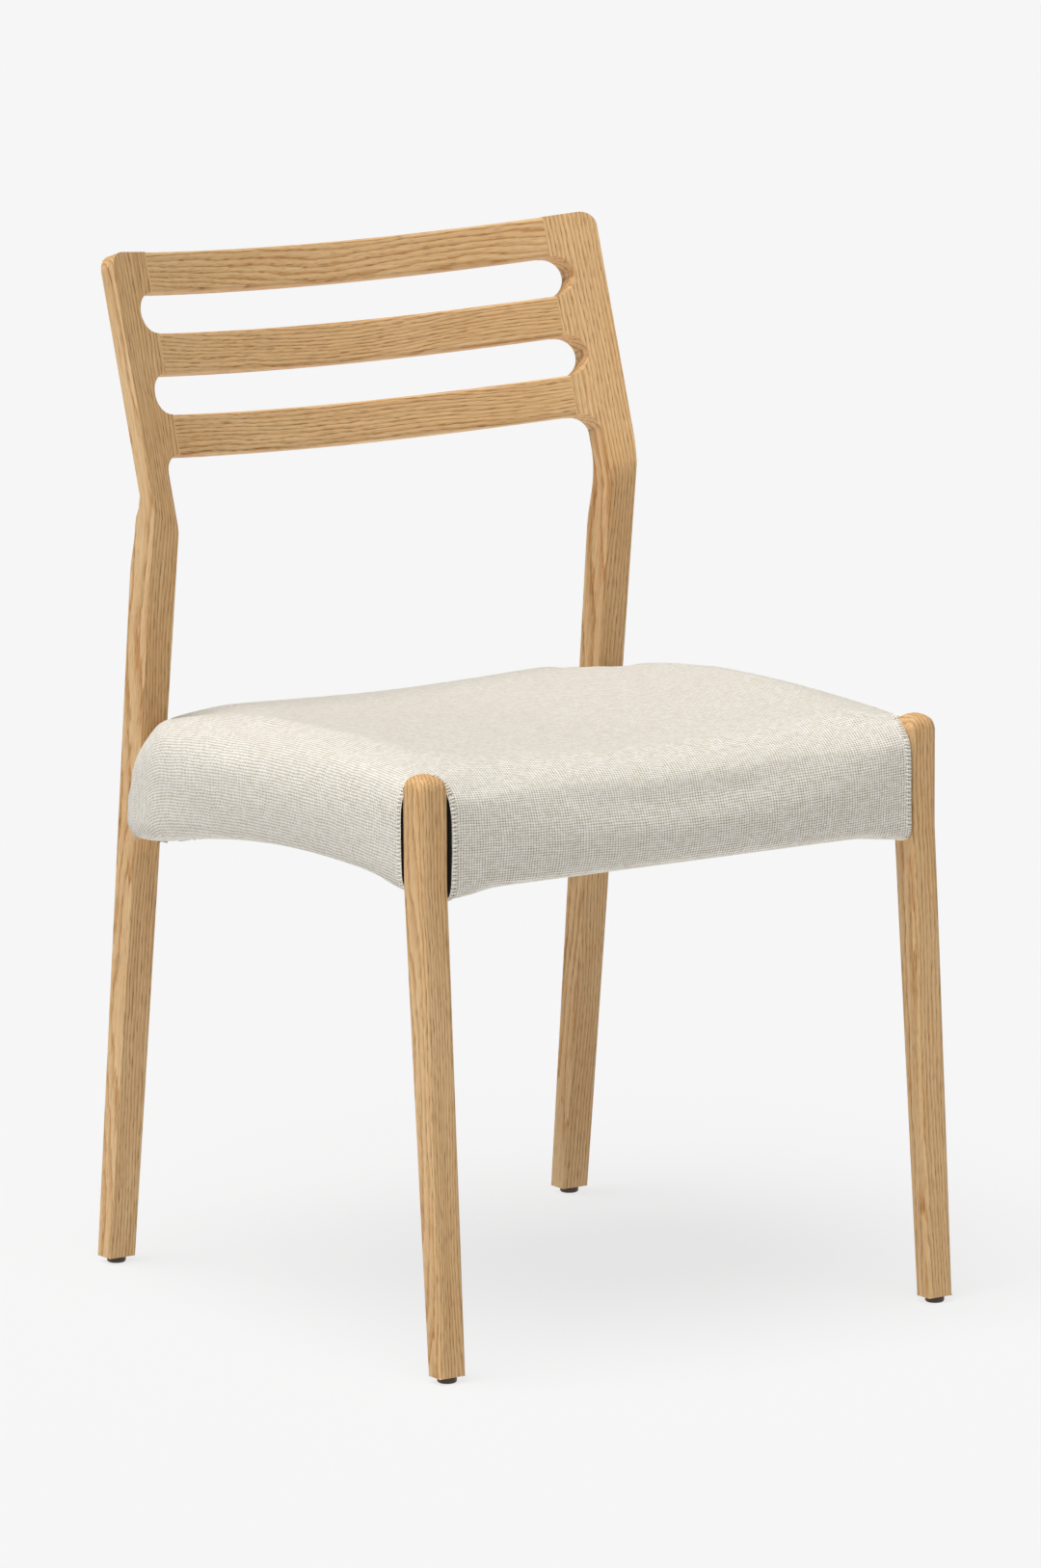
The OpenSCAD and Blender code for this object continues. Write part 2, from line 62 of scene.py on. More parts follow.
# Lengths in this file are millimetres until place() turns them into metres. They are measured from a
# datum on the floor, halfway between the front and the rear glides; the frame's own boxes say where
# that is and how wide the legs stand.
MM = 0.001
GLIDE_FRONT, GLIDE_REAR = 237, 240
DATUM_Y = middle("glide_front_right").y + GLIDE_FRONT * MM
FRONT_LEG = [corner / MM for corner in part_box("front_leg_right")]
FRONT_OUT, FRONT_TOP = FRONT_LEG[1].x, FRONT_LEG[1].z
FRONT_WIDTH = 26
FRONT_IN = FRONT_OUT - FRONT_WIDTH
REAR_LEG = [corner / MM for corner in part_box("rear_leg_right")]
TOE_SPLAY, REAR_WIDTH = 1.5, 23.5
REAR_OUT = REAR_LEG[1].x - TOE_SPLAY
REAR_IN = REAR_OUT - REAR_WIDTH

# The back: leaned about the datum's X axis, curved in plan about an axis in front of it
LEAN = math.radians(17.5)
ARC_RADIUS, ARC_BACK = 600, 14
BACK_THICK, BACK_TOP, POST_FOOT = 17.5, 834, 645
SLAT_HEIGHT, SLAT_PITCH, SLAT_END = 32, 64.3, 188
SLAT_LOWS = [BACK_TOP - SLAT_HEIGHT - i * SLAT_PITCH for i in range(3)]

# The legs below the back
GLIDE_TOP = 5
TOE_DEPTH = 17.5
REAR_TOE_Y = GLIDE_REAR - TOE_DEPTH / 2
BEND_Y, BEND_Z, CALF_Z, NECK_Z = 160.6, 617, 562, 597
CALF_DEPTH, NECK_DEPTH, NECK_SLOPE = 29.5, 26, -0.05
# The curve into the neck starts this far below the calf
CALF_LEAD = 8
FRONT_TOE_Y = -GLIDE_FRONT - TOE_DEPTH / 2
FRONT_FACE_Y, KNEE_Z, KNEE_BACK_Y = -221, 372, -196.5
# Above the knee the back of a front leg comes back by this much; below it the inside tapers
THIGH_BACK, INNER_TAPER = 2.5, 1.5

# The pad
PAD_SIDE, PAD_FRONT, PAD_REAR, WING_REAR = 241, -222.5, 212.5, 187
TURN_UNDER = 24
LOW_FRONT, LOW_REAR, LOW_ARCH = 367, 339, 22.5
HIGH_FRONT, HIGH_REAR, HIGH_ARCH = 456.5, 442, 16
# From here outwards the rear end of a wing is rounded off, above and below
WING_FROM = 206


def place(x, y, z):
    return Vector((x * MM, y * MM + DATUM_Y, z * MM))


def datum(point):
    """The reverse of place(): a point of the model as datum millimetres."""
    return point.x / MM, (point.y - DATUM_Y) / MM, point.z / MM


def mix(a, b, t):
    return a + (b - a) * t


def ramp(t):
    t = max(0.0, min(1.0, t))
    return t * t * (3 - 2 * t)


# ---- Sizes and colours that a user may change ----


class ChairOakSettings(bpy.types.PropertyGroup):
    leg_edge: FloatProperty(
        name="Leg edge radius",
        description="Rounding of the long edges of the legs",
        default=0.0036,
        min=0.001,
        max=0.006,
        unit="LENGTH",
    )
    post_edge: FloatProperty(
        name="Post edge radius",
        description="Rounding of the outer edges of the back's posts",
        default=0.0045,
        min=0.001,
        max=0.007,
        unit="LENGTH",
    )
    slat_edge: FloatProperty(
        name="Slat edge radius",
        description="Rounding of the long edges of the slats",
        default=0.003,
        min=0.001,
        max=0.006,
        unit="LENGTH",
    )
    crown: FloatProperty(
        name="Leg crown radius",
        description="Rounding of the tops of the front legs",
        default=0.0112,
        min=0.004,
        max=0.012,
        unit="LENGTH",
    )
    light: StringProperty(
        name="Late wood", description="Colour of the dense part of a ring", default="#F2CF9D"
    )
    dark: StringProperty(
        name="Early wood", description="Colour of the open part of a ring", default="#C58B4C"
    )
    pore: StringProperty(
        name="Pores", description="Colour of the open pores", default="#7F5227"
    )
    ring_width: FloatProperty(
        name="Ring width",
        description="Mean distance between growth rings",
        default=0.0032,
        min=0.001,
        max=0.006,
        unit="LENGTH",
    )


class ChairSeatSettings(bpy.types.PropertyGroup):
    puff: FloatProperty(
        name="Padding swell",
        description="The most that the padding may push the cloth out",
        default=0.0045,
        min=0.0,
        max=0.01,
        unit="LENGTH",
    )
    voxel: FloatProperty(
        name="Cloth cell",
        description="Cell size of the mesh that is inflated",
        default=0.0062,
        min=0.004,
        max=0.01,
        unit="LENGTH",
    )
    steps: IntProperty(
        name="Settling steps", description="Frames of simulation", default=16, min=5, max=30
    )
    thickness: FloatProperty(
        name="Cloth thickness",
        description="Thickness of the woven cover",
        default=0.0015,
        min=0.0005,
        max=0.003,
        unit="LENGTH",
    )
    weft_pitch: FloatProperty(
        name="Weft spacing",
        description="Distance between the yarns that run across the seat",
        default=0.0020,
        min=0.001,
        max=0.004,
        unit="LENGTH",
    )
    warp_pitch: FloatProperty(
        name="Warp spacing",
        description="Distance between the yarns that run from front to back",
        default=0.0024,
        min=0.001,
        max=0.004,
        unit="LENGTH",
    )
    yarn: StringProperty(name="Yarn", description="Main yarn colour", default="#FBF8F0")
    slub: StringProperty(name="Slub", description="Colour of the thick, rough runs", default="#F2EBDB")
    # The gap colour is painted shade: it darkens the pinholes and the places where a yarn dives under
    gap: StringProperty(name="Gap", description="Colour seen between the yarns", default="#735932")


class ChairStageSettings(bpy.types.PropertyGroup):
    azimuth: FloatProperty(
        name="Camera azimuth",
        description="Angle of the camera round the chair, from straight in front",
        default=math.radians(-34.851),
        subtype="ANGLE",
    )
    elevation: FloatProperty(
        name="Camera elevation",
        description="Angle of the camera above the floor",
        default=math.radians(10.465),
        subtype="ANGLE",
    )
    distance: FloatProperty(
        name="Camera distance",
        description="Distance from the camera to the middle of the chair",
        default=7.8384,
        min=2,
        max=20,
        unit="LENGTH",
    )
    lens: FloatProperty(
        name="Lens", description="Focal length", default=232.3, unit="CAMERA"
    )
    floor: StringProperty(name="Floor", description="Colour of the floor", default="#F5F5F5")
    sky: FloatProperty(name="Fill", description="Strength of the even light", default=0.08)
    key: FloatProperty(name="Key", description="Strength of the soft light from above", default=3.5)


GROUPS = {
    "chair_oak": ChairOakSettings,
    "chair_seat": ChairSeatSettings,
    "chair_stage": ChairStageSettings,
}


# ---- Working in edit mode, as by hand ----


def nothing_selected():
    if bpy.context.mode != "OBJECT":
        bpy.ops.object.mode_set(mode="OBJECT")
    bpy.ops.object.select_all(action="DESELECT")


def only(piece):
    nothing_selected()
    piece.select_set(True)
    bpy.context.view_layer.objects.active = piece


def new_piece(name):
    """Names the primitive that was just added and brings its place into its mesh."""
    piece = bpy.context.object
    piece.name = piece.data.name = name
    only(piece)
    bpy.ops.object.transform_apply(location=True, rotation=True, scale=True)
    return piece


def add_block(name, low, high):
    """A cube primitive between two corners given in millimetres, with no datum shift."""
    nothing_selected()
    low, high = Vector(low) * MM, Vector(high) * MM
    bpy.ops.mesh.primitive_cube_add(size=1, location=(low + high) / 2, scale=high - low)
    return new_piece(name)


@contextmanager
def editing(piece, kind="VERT"):
    only(piece)
    bpy.ops.object.mode_set(mode="EDIT")
    bpy.ops.mesh.select_mode(type=kind)
    yield bmesh.from_edit_mesh(piece.data)
    bpy.ops.object.mode_set(mode="OBJECT")


def pick(piece, kind, test):
    """Selects the verts, edges or faces of the piece in edit mode that pass a test of their place."""
    bpy.ops.mesh.select_mode(type={"verts": "VERT", "edges": "EDGE", "faces": "FACE"}[kind])
    bpy.ops.mesh.select_all(action="DESELECT")
    shape = bmesh.from_edit_mesh(piece.data)
    chosen = [part for part in getattr(shape, kind) if test(part)]
    if not chosen:
        raise RuntimeError(f"{piece.name}: no {kind} at the place that was asked for")
    for part in chosen:
        part.select_set(True)
    bmesh.update_edit_mesh(piece.data)
    return chosen


def cut(place_at, normal, **options):
    """Bisects everything with a plane."""
    bpy.ops.mesh.select_all(action="SELECT")
    bpy.ops.mesh.bisect(plane_co=place_at, plane_no=normal, threshold=1e-6, **options)


def finish_modifier(piece, kind, **settings):
    """Adds a modifier and applies it."""
    only(piece)
    modifier = piece.modifiers.new(kind.title(), kind)
    for key, value in settings.items():
        setattr(modifier, key, value)
    bpy.ops.object.modifier_apply(modifier=modifier.name)


def face_outwards(piece, merge=True):
    with editing(piece):
        bpy.ops.mesh.select_all(action="SELECT")
        if merge:
            bpy.ops.mesh.remove_doubles(threshold=1e-6)
        bpy.ops.mesh.normals_make_consistent(inside=False)


def copy_of(piece, name):
    only(piece)
    bpy.ops.object.duplicate(linked=False)
    twin = bpy.context.object
    twin.name = twin.data.name = name
    return twin


def mirrored(piece, name):
    """A copy on the other side of the chair."""
    twin = copy_of(piece, name)
    twin.scale.x = -1
    bpy.ops.object.transform_apply(location=False, rotation=False, scale=True)
    face_outwards(twin, merge=False)
    return twin


def seated(piece, slot, *nodes):
    """Puts a finished piece on the chair's one body, in place of its CAD nodes."""
    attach(piece, "root")
    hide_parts(*nodes)


def smooth_surfaces(piece, angle=40):
    only(piece)
    bpy.ops.object.shade_smooth_by_angle(angle=math.radians(angle))
    finish_modifier(piece, "WEIGHTED_NORMAL", keep_sharp=True, weight=60)


def paint(piece, *materials):
    piece.data.materials.clear()
    for material in materials:
        piece.data.materials.append(material)


# ---- Materials ----


def linear(colour):
    """An sRGB hex colour as the linear RGBA that shaders use."""
    values = [int(colour[i : i + 2], 16) / 255 for i in (1, 3, 5)]
    return [v / 12.92 if v <= 0.04045 else ((v + 0.055) / 1.055) ** 2.4 for v in values] + [1]


def add(tree, kind, inputs=(), out=0, **settings):
    """Adds one shader node with its settings; an input is a value or another node's output."""
    node = tree.nodes.new(kind)
    for key, value in settings.items():
        setattr(node, key, value)
    for socket, value in dict(inputs).items():
        if isinstance(value, bpy.types.NodeSocket):
            tree.links.new(value, node.inputs[socket])
        else:
            node.inputs[socket].default_value = value
    return node.outputs[out]


def set_ramp(output, *stops):
    """Gives a colour ramp its stops, each a place and a grey or a colour."""
    ramp_stops = output.node.color_ramp.elements
    while len(ramp_stops) > 2:
        ramp_stops.remove(ramp_stops[-1])
    while len(ramp_stops) < len(stops):
        ramp_stops.new(1.0)
    for stop, (at, value) in zip(ramp_stops, stops):
        stop.position = at
        stop.color = value if not isinstance(value, (int, float)) else (value, value, value, 1)
    return output


def blank_material(name, roughness, **sockets):
    found = bpy.data.materials.get(name)
    if found:
        return found, None, None
    material = bpy.data.materials.new(name)
    material.use_nodes = True
    tree = material.node_tree
    shader = tree.nodes["Principled BSDF"]
    shader.inputs["Roughness"].default_value = roughness
    for socket, value in sockets.items():
        shader.inputs[socket.replace("_", " ")].default_value = value
    return material, tree, shader


def oak_soaped(settings):
    """Solid European oak, planed, sanded and soaped: matt, honey-tan, with ring lines of open wood,
    fine dark pores drawn out along the grain and a slow drift of tone from board to board."""
    material, tree, shader = blank_material("oak_soaped", 0.6, IOR=1.45, Specular_IOR_Level=0.35)
    if tree is None:
        return material
    # Every oak piece carries "grain": across, across and along the fibres, in metres
    grain = add(tree, "ShaderNodeAttribute", attribute_name="grain", out="Vector")
    across = add(tree, "ShaderNodeVectorMath", {0: grain, 1: (1, 1, 0)}, operation="MULTIPLY")
    from_pith = add(tree, "ShaderNodeVectorMath", {0: across, 1: (0.074, 0.052, 0)}, operation="ADD")
    radius = add(
        tree, "ShaderNodeVectorMath", {0: from_pith}, operation="LENGTH", out="Value"
    )
    # The stem's slow wander, about 60 mm across and 300 mm along, bends the rings into arches
    slow = add(tree, "ShaderNodeVectorMath", {0: grain, 1: (16, 16, 3.2)}, operation="MULTIPLY")
    wander = add(tree, "ShaderNodeTexNoise", {"Vector": slow, "Scale": 1, "Detail": 1.5})
    quick = add(tree, "ShaderNodeVectorMath", {0: grain, 1: (210, 210, 34)}, operation="MULTIPLY")
    waver = add(tree, "ShaderNodeTexNoise", {"Vector": quick, "Scale": 1, "Detail": 2})
    bent = add(
        tree, "ShaderNodeMath", {0: wander, 1: 0.030, 2: radius}, operation="MULTIPLY_ADD"
    )
    rough_edge = add(
        tree, "ShaderNodeMath", {0: waver, 1: 0.0030, 2: bent}, operation="MULTIPLY_ADD"
    )
    counted = add(
        tree, "ShaderNodeMath", {0: rough_edge, 1: settings.ring_width}, operation="DIVIDE"
    )
    ring = add(tree, "ShaderNodeMath", {0: counted}, operation="FRACT")
    early = set_ramp(
        add(tree, "ShaderNodeValToRGB", {0: ring}),
        (0.0, 0.7), (0.08, 1.0), (0.24, 0.5), (0.50, 0.12), (0.92, 0.0), (1.0, 0.7),
    )
    # Pores are 0.2 mm wide and up to 20 mm long; they are drawn 0.6 mm wide so that they still show
    pore_place = add(
        tree, "ShaderNodeVectorMath", {0: grain, 1: (1150, 1150, 95)}, operation="MULTIPLY"
    )
    pore_noise = add(tree, "ShaderNodeTexNoise", {"Vector": pore_place, "Scale": 1, "Detail": 1})
    pores = set_ramp(add(tree, "ShaderNodeValToRGB", {0: pore_noise}), (0.52, 0), (0.64, 1.0))
    in_early = add(tree, "ShaderNodeMath", {0: early, 1: 0.7, 2: 0.3}, operation="MULTIPLY_ADD")
    open_pores = add(tree, "ShaderNodeMath", {0: pores, 1: in_early}, operation="MULTIPLY")
    fibre_place = add(
        tree, "ShaderNodeVectorMath", {0: grain, 1: (700, 700, 9)}, operation="MULTIPLY"
    )
    fibres = add(tree, "ShaderNodeTexNoise", {"Vector": fibre_place, "Scale": 1, "Detail": 3})
    drift_place = add(tree, "ShaderNodeVectorMath", {0: grain, 1: (9, 9, 5)}, operation="MULTIPLY")
    drift = add(tree, "ShaderNodeTexNoise", {"Vector": drift_place, "Scale": 1, "Detail": 2})
    banded = add(tree, "ShaderNodeMath", {0: early, 1: 0.62}, operation="MULTIPLY")
    streaked = add(
        tree, "ShaderNodeMath", {0: fibres, 1: 0.75, 2: banded}, operation="MULTIPLY_ADD"
    )
    drifting = add(
        tree, "ShaderNodeMath", {0: drift, 1: 0.55, 2: streaked}, operation="MULTIPLY_ADD"
    )
    tone = add(tree, "ShaderNodeMath", {0: drifting, 1: 0.42}, operation="SUBTRACT", use_clamp=True)
    wood = add(
        tree,
        "ShaderNodeMix",
        {"Factor": tone, 6: linear(settings.light), 7: linear(settings.dark)},
        out=2,
        data_type="RGBA",
    )
    pore_share = add(tree, "ShaderNodeMath", {0: open_pores, 1: 0.62}, operation="MULTIPLY")
    with_pores = add(
        tree,
        "ShaderNodeMix",
        {"Factor": pore_share, 6: wood, 7: linear(settings.pore)},
        out=2,
        data_type="RGBA",
    )
    tree.links.new(with_pores, shader.inputs["Base Color"])
    dull = add(tree, "ShaderNodeMath", {0: open_pores, 1: 0.16, 2: 0.56}, operation="MULTIPLY_ADD")
    tree.links.new(dull, shader.inputs["Roughness"])
    height = add(
        tree, "ShaderNodeMath", {0: open_pores, 1: -1.0, 2: fibres}, operation="MULTIPLY_ADD"
    )
    bump = add(tree, "ShaderNodeBump", {"Height": height, "Strength": 0.35, "Distance": 0.0003})
    tree.links.new(bump, shader.inputs["Normal"])
    return material


def store_grain(piece, along):
    """Keeps, at every vertex, where it lies across and along the fibres of its own board."""
    layer = piece.data.attributes.new("grain", "FLOAT_VECTOR", "POINT")
    for vertex, value in zip(piece.data.vertices, layer.data):
        value.vector = along(*datum(vertex.co))


def woven_boucle(settings):
    """Plain weave of thick cream yarn, brushed by hand: rows of short bright floats, uneven where a
    yarn runs thick. The brown between them is painted shade, in the pinholes and where a yarn dives."""
    material, tree, shader = blank_material("woven_cotton_wool", 0.92, IOR=1.45, Sheen_Weight=0.25)
    if tree is None:
        return material
    uv = add(tree, "ShaderNodeUVMap", uv_map="weave")
    per_yarn = (1 / settings.warp_pitch, 1 / settings.weft_pitch, 0)
    yarns = add(tree, "ShaderNodeVectorMath", {0: uv, 1: per_yarn}, operation="MULTIPLY")
    # Yarns wander by a fifth of their spacing over some 20 mm
    wander = add(tree, "ShaderNodeTexNoise", {"Vector": uv, "Scale": 55, "Detail": 2}, out="Color")
    offset = add(
        tree, "ShaderNodeVectorMath", {0: wander, 1: (0.5, 0.5, 0.5)}, operation="SUBTRACT"
    )
    shifted = add(
        tree,
        "ShaderNodeVectorMath",
        {0: offset, 1: (1.1, 1.1, 0), 2: yarns},
        operation="MULTIPLY_ADD",
    )
    split = add(tree, "ShaderNodeSeparateXYZ", {0: shifted})
    warp_at, weft_at = split.node.outputs[0], split.node.outputs[1]
    warp = add(tree, "ShaderNodeMath", {0: warp_at, 1: 0.5}, operation="PINGPONG")
    weft = add(tree, "ShaderNodeMath", {0: weft_at, 1: 0.5}, operation="PINGPONG")
    warp_no = add(tree, "ShaderNodeMath", {0: warp_at}, operation="FLOOR")
    weft_no = add(tree, "ShaderNodeMath", {0: weft_at}, operation="FLOOR")
    both = add(tree, "ShaderNodeMath", {0: warp_no, 1: weft_no}, operation="ADD")
    over = add(tree, "ShaderNodeMath", {0: both, 1: 2.0}, operation="FLOORED_MODULO")
    # Across the upper yarn of a crossing, and along it
    across = add(tree, "ShaderNodeMix", {0: over, 2: warp, 3: weft})
    along = add(tree, "ShaderNodeMix", {0: over, 2: weft, 3: warp})
    round_yarn = add(tree, "ShaderNodeMath", {0: across, 1: 0.5}, operation="POWER")
    dive = add(tree, "ShaderNodeMath", {0: along, 1: 0.3}, operation="POWER")
    height = add(tree, "ShaderNodeMath", {0: round_yarn, 1: dive}, operation="MULTIPLY")
    nearest = add(tree, "ShaderNodeMath", {0: warp, 1: weft}, operation="MAXIMUM")
    pinhole_shade = set_ramp(add(tree, "ShaderNodeValToRGB", {0: nearest}), (0.16, 1), (0.31, 0))
    # One number for each crossing, and slow slubs along the weft
    crossing = add(tree, "ShaderNodeCombineXYZ", {0: warp_no, 1: weft_no})
    luck = add(tree, "ShaderNodeTexWhiteNoise", {0: crossing}, noise_dimensions="2D")
    slub_place = add(tree, "ShaderNodeVectorMath", {0: uv, 1: (70, 480, 0)}, operation="MULTIPLY")
    slubs = add(tree, "ShaderNodeTexNoise", {"Vector": slub_place, "Scale": 1, "Detail": 3})
    rough = add(tree, "ShaderNodeMath", {0: luck, 1: 0.25, 2: slubs}, operation="MULTIPLY_ADD")
    rough_share = set_ramp(add(tree, "ShaderNodeValToRGB", {0: rough}), (0.48, 0), (0.85, 1))
    colour = add(
        tree,
        "ShaderNodeMix",
        {"Factor": rough_share, 6: linear(settings.yarn), 7: linear(settings.slub)},
        out=2,
        data_type="RGBA",
    )
    # Painted shade: the gap colour darkens the pinholes and the low parts where a yarn dives under, more at
    # some crossings than others
    dive_shade = set_ramp(add(tree, "ShaderNodeValToRGB", {0: height}), (0.05, 0.45), (0.36, 0))
    dark = add(tree, "ShaderNodeMath", {0: pinhole_shade, 1: dive_shade}, operation="MAXIMUM")
    shade_by_luck = add(tree, "ShaderNodeMath", {0: luck, 1: 0.45, 2: 0.5}, operation="MULTIPLY_ADD")
    painted_shade_share = add(tree, "ShaderNodeMath", {0: dark, 1: shade_by_luck}, operation="MULTIPLY")
    woven = add(
        tree,
        "ShaderNodeMix",
        {"Factor": painted_shade_share, 6: colour, 7: linear(settings.gap)},
        out=2,
        data_type="RGBA",
    )
    tree.links.new(woven, shader.inputs["Base Color"])
    bump = add(tree, "ShaderNodeBump", {"Height": height, "Strength": 0.8, "Distance": 0.0007})
    tree.links.new(bump, shader.inputs["Normal"])
    return material


def speckled(name, light, dark, size, roughness, bump=0.0002, **sockets):
    """A plain finish that varies a little: two tones in soft patches of one real size."""
    material, tree, shader = blank_material(name, roughness, **sockets)
    if tree is None:
        return material
    place_in = add(tree, "ShaderNodeTexCoord", out="Object")
    patches = add(
        tree, "ShaderNodeTexNoise", {"Vector": place_in, "Scale": 1 / (size * MM), "Detail": 3}
    )
    shade = set_ramp(
        add(tree, "ShaderNodeValToRGB", {0: patches}), (0.35, linear(light)), (0.65, linear(dark))
    )
    tree.links.new(shade, shader.inputs["Base Color"])
    normal = add(tree, "ShaderNodeBump", {"Height": patches, "Strength": 0.4, "Distance": bump})
    tree.links.new(normal, shader.inputs["Normal"])
    return material


def overcast_yarn(settings):
    """Cream cotton yarn of the overcast stitches, in two close tones."""
    return speckled("overcast_yarn", settings.yarn, settings.slub, 1.2, 0.9, Sheen_Weight=0.12)


def black_felt():
    """Painted shade: a black finish on the walls of the leg slots that stands in for the deep shade in them,
    so that the slots look empty.
    """
    return speckled("black_felt", "#0E0D0C", "#161412", 1.0, 0.95)


def foam_cut():
    """Cut polyurethane foam: pale yellow, with open cells a millimetre wide."""
    return speckled("foam_cut", "#F1E9BE", "#DDD19B", 1.1, 0.95, bump=0.0006)


def lining_cloth():
    """Spun-bonded polypropylene lining: black, with pressed dots a few millimetres apart."""
    material, tree, shader = blank_material("lining_spunbond", 0.85, IOR=1.49)
    if tree is None:
        return material
    place_in = add(tree, "ShaderNodeTexCoord", out="Object")
    dots = add(tree, "ShaderNodeTexVoronoi", {"Vector": place_in, "Scale": 420, "Randomness": 0.2})
    fibres = add(tree, "ShaderNodeTexNoise", {"Vector": place_in, "Scale": 900, "Detail": 4})
    pressed = set_ramp(add(tree, "ShaderNodeValToRGB", {0: dots}), (0.25, 0), (0.4, 1))
    share = add(tree, "ShaderNodeMath", {0: pressed, 1: fibres}, operation="MULTIPLY")
    shade = add(
        tree,
        "ShaderNodeMix",
        {"Factor": share, 6: linear("#0F0F10"), 7: linear("#3A3A3E")},
        out=2,
        data_type="RGBA",
    )
    tree.links.new(shade, shader.inputs["Base Color"])
    bump = add(tree, "ShaderNodeBump", {"Height": share, "Strength": 0.5, "Distance": 0.0003})
    tree.links.new(bump, shader.inputs["Normal"])
    return material


def beech_sawn(name, axis):
    """Machined beech: pinkish tan, with short fine flecks that run along the piece."""
    material, tree, shader = blank_material(name, 0.6, IOR=1.45)
    if tree is None:
        return material
    stretch = [260, 260, 260]
    stretch[axis] = 22
    place_in = add(tree, "ShaderNodeTexCoord", out="Object")
    drawn = add(tree, "ShaderNodeVectorMath", {0: place_in, 1: stretch}, operation="MULTIPLY")
    fibres = add(tree, "ShaderNodeTexNoise", {"Vector": drawn, "Scale": 1, "Detail": 4})
    flecked = add(tree, "ShaderNodeTexVoronoi", {"Vector": drawn, "Scale": 2.4})
    shade = set_ramp(
        add(tree, "ShaderNodeValToRGB", {0: fibres}),
        (0.3, linear("#E8CFA8")), (0.55, linear("#D9B98B")), (0.75, linear("#C7A173")),
    )
    fleck = set_ramp(add(tree, "ShaderNodeValToRGB", {0: flecked}), (0.05, 0.4), (0.18, 0))
    spotted = add(
        tree,
        "ShaderNodeMix",
        {"Factor": fleck, 6: shade, 7: linear("#A9794C")},
        out=2,
        data_type="RGBA",
    )
    tree.links.new(spotted, shader.inputs["Base Color"])
    bump = add(tree, "ShaderNodeBump", {"Height": fibres, "Strength": 0.3, "Distance": 0.0003})
    tree.links.new(bump, shader.inputs["Normal"])
    return material


def birch_plywood():
    """Birch plywood: pale faces with long grain, and an edge of light and dark layers 1.3 mm thick."""
    material, tree, shader = blank_material("birch_plywood", 0.6, IOR=1.45)
    if tree is None:
        return material
    place_in = add(tree, "ShaderNodeTexCoord", out="Object")
    drawn = add(tree, "ShaderNodeVectorMath", {0: place_in, 1: (180, 12, 180)}, operation="MULTIPLY")
    fibres = add(tree, "ShaderNodeTexNoise", {"Vector": drawn, "Scale": 1, "Detail": 4})
    height = add(tree, "ShaderNodeSeparateXYZ", {0: place_in}, out=2)
    layer = add(tree, "ShaderNodeMath", {0: height, 1: 0.0013}, operation="PINGPONG")
    dark_layer = set_ramp(
        add(tree, "ShaderNodeValToRGB", {0: layer}), (0.0005, 0.0), (0.0008, 0.45)
    )
    shade = set_ramp(
        add(tree, "ShaderNodeValToRGB", {0: fibres}),
        (0.35, linear("#EAD7B4")), (0.65, linear("#D6BC91")),
    )
    layered = add(
        tree,
        "ShaderNodeMix",
        {"Factor": dark_layer, 6: shade, 7: linear("#B08A5C")},
        out=2,
        data_type="RGBA",
    )
    tree.links.new(layered, shader.inputs["Base Color"])
    bump = add(tree, "ShaderNodeBump", {"Height": fibres, "Strength": 0.2, "Distance": 0.0003})
    tree.links.new(bump, shader.inputs["Normal"])
    return material


def zinc_plated():
    """Zinc-plated steel: grey with a faint spangle and soft reflections."""
    return speckled(
        "steel_zinc_plated", "#C2C5C8", "#9EA3A8", 2.0, 0.36, bump=0.00003, Metallic=1.0
    )


def glide_nylon():
    """Moulded nylon: dark brown, slightly glossy, scuffed dull by the floor."""
    return speckled("nylon_dark_brown", "#3A2A22", "#4A372C", 3.0, 0.42, bump=0.00008, IOR=1.53)


# ---- The oak frame ----


def arc_y(x, depth):
    """Where the curved back's surface lies at x, before the lean; depth 0 is its front face."""
    return ARC_BACK - ARC_RADIUS + math.sqrt((ARC_RADIUS + depth) ** 2 - x * x)


def leaned(x, y, z):
    return x, y * math.cos(LEAN) + z * math.sin(LEAN), z * math.cos(LEAN) - y * math.sin(LEAN)


def upright(x, y, z):
    """The reverse of leaned()."""
    return x, y * math.cos(LEAN) - z * math.sin(LEAN), z * math.cos(LEAN) + y * math.sin(LEAN)


def shin_front(z):
    return REAR_TOE_Y - (REAR_TOE_Y - BEND_Y) / (BEND_Z - GLIDE_TOP) * (z - GLIDE_TOP)


def post_face(x, z, depth):
    """Where a face of the leaning post lies at a height."""
    return arc_y(x, depth) / math.cos(LEAN) + z * math.tan(LEAN)


def curve(z, z0, y0, slope0, z1, y1, slope1):
    """A smooth curve between two points with a slope at each."""
    span = z1 - z0
    t = (z - z0) / span
    return (
        (2 * t**3 - 3 * t**2 + 1) * y0
        + (t**3 - 2 * t**2 + t) * span * slope0
        + (3 * t**2 - 2 * t**3) * y1
        + (t**3 - t**2) * span * slope1
    )


def rear_front(x, z):
    """Front face of a rear leg: the straight shin, then the leaning post."""
    return max(shin_front(z), post_face(x, z, 0))


